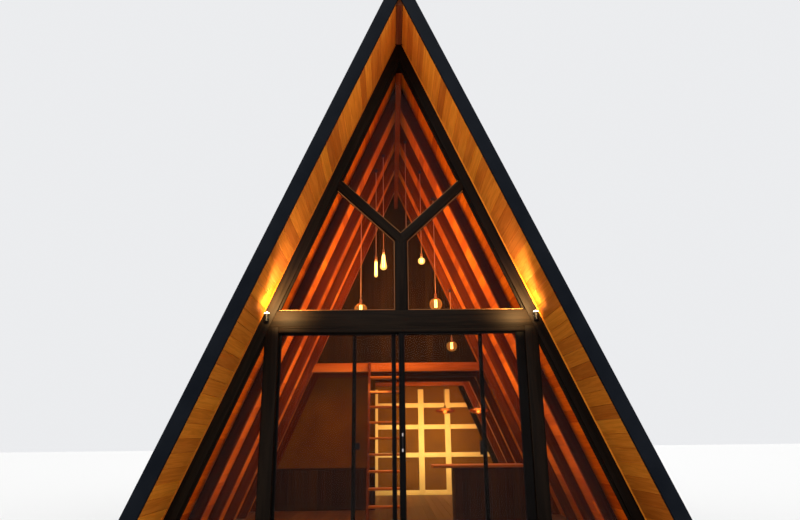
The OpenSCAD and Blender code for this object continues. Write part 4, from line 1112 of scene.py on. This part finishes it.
# Studio floor and surround: both pale. The surround lights the cabin a little less brightly than it
# is seen, so that it doesn't wash out the warm light in the rooms.
FLOOR_REACH, LIT_BY, SEEN_AT = 120, 0.62, 0.86
floor = bpy.data.meshes.new("studio_floor")
corners = [(x * FLOOR_REACH, y * FLOOR_REACH, 0) for x, y in ((-1, -1), (1, -1), (1, 1), (-1, 1))]
floor.from_pydata(corners, [], [(0, 1, 2, 3)])
floor.materials.append(finish("studio_floor", Base_Color=(0.83, 0.83, 0.825, 1), Roughness=0.9)[0])
ground = linked("studio_floor", floor)
ground.location.z = -0.002
world = bpy.data.worlds.new("studio")
world.use_nodes = True
bpy.context.scene.world = world
tree = world.node_tree
rays = add(tree, "ShaderNodeLightPath").outputs
seen = calc(tree, "MAXIMUM", rays["Is Camera Ray"], rays["Is Glossy Ray"])
seen = calc(tree, "MAXIMUM", seen, rays["Is Transmission Ray"])
feed(tree, tree.nodes["Background"], {"Color": (0.97, 0.98, 1.0, 1),
                                      "Strength": between(tree, seen, LIT_BY, SEEN_AT)})


# Studio light: three broad soft suns from the front left, the front right and behind, soft lamps
# in the rooms so that they read through the glass, and three spots at each spotlight, for its light
# on the soffit and on the corner of the frame.
def light(name, kind, power, colour, place, turn, **settings):
    """A lamp of the studio, which isn't part of the cabin."""
    made = linked(name, bpy.data.lights.new(name, kind))
    made.data.energy = power
    made.data.color = colour
    for key, value in settings.items():
        setattr(made.data, key, value)
    made.location = place
    made.rotation_euler = turn
    return made


def aimed(way):
    """The turn that points a lamp this way."""
    return Vector(way).to_track_quat("-Z", "Y").to_euler()


for name, elevation, azimuth, power, spread, colour in (
        ("key", 42, -28, 1.35, 25, (1, 0.98, 0.95)), ("fill", 30, 40, 0.5, 60, (1, 1, 1)),
        ("rear", 35, 170, 0.9, 50, (1, 1, 1))):
    light(name, "SUN", power, colour, (0, 0, 0), (math.radians(90 - elevation), 0, math.radians(azimuth)),
          angle=math.radians(spread))

WARM, AMBER, STRAW = (1, 0.66, 0.33), (1, 0.44, 0.13), (1, 0.78, 0.42)
rooms = [light("hall_middle", "POINT", 125, AMBER, (0, -2.45, 3.75), (0, 0, 0), shadow_soft_size=0.35)]
for name, place, target, (wide, deep), power, colour in (
        ("hall_front", (0, 0.3, 4.1), (0, -4.2, 4.8), (1.2, 1.6), 32, AMBER),
        ("hall_back", (0, -0.95, 3.9), (0, 1.5, 3.9), (1.0, 1.3), 50, AMBER),
        ("hall_peak", (0, -2.2, 3.1), (0, -2.2, 7), (1.6, 3.0), 6, AMBER),
        ("hall_low", (0, -0.9, 1.9), (0, -4.4, 1.5), (3.0, 1.6), 75, AMBER),
        ("hall_floor", (0, -2.4, 2.9), (0, -2.4, 0), (2.4, 2.6), 30, WARM),
        ("before_partition", (-0.9, -0.4, 2.6), (-1.1, 1.2, 1.3), (1.4, 0.5), 9, WARM),
        ("below_loft", (0.6, 2.2, 2.6), (0.6, 2.6, 0), (2.0, 2.0), 45, WARM),
        ("below_loft_back", (0.7, 2.9, 1.5), (0.6, 4.2, 1.3), (1.6, 0.8), 45, STRAW),
        ("last_joist", (0.6, 2.45, 2.3), (0.6, 3.21, 2.85), (1.6, 0.2), 45, AMBER)):
    rooms.append(light(name, "AREA", power, colour, place, aimed(Vector(target) - Vector(place)),
                       shape="RECTANGLE", size=wide, size_y=deep))
for lamp in rooms:
    lamp.visible_camera = lamp.visible_glossy = lamp.visible_transmission = False

for side in (-1, 1):
    for name, out, front, lift, angle, power, way, colour in (
            ("soffit_wide", 0.18, 0.28, -0.08, 130, 9, (side * 0.15, 0, 1), (1, 0.78, 0.6)),
            ("soffit_narrow", 0.22, 0.28, -0.08, 80, 96, (-side * 0.28, 0, 1), (1, 0.72, 0.75)),
            ("frame_corner", 0.14, 0.42, 0.02, 100, 170, (-side * 0.1, 0.42, 0.1), (1, 0.62, 0.24))):
        height = spot_high.z + lift
        place = (side * edge_x(-out, height), spot_high.y - front, height)
        light(name, "SPOT", power, colour, place, aimed(way), spot_size=math.radians(angle), spot_blend=1,
              shadow_soft_size=0.05)
cycles = bpy.context.scene.cycles
cycles.caustics_reflective = cycles.caustics_refractive = False
bpy.context.scene.view_settings.view_transform = "Standard"

# Brings the scene up to date
bpy.context.view_layer.update()
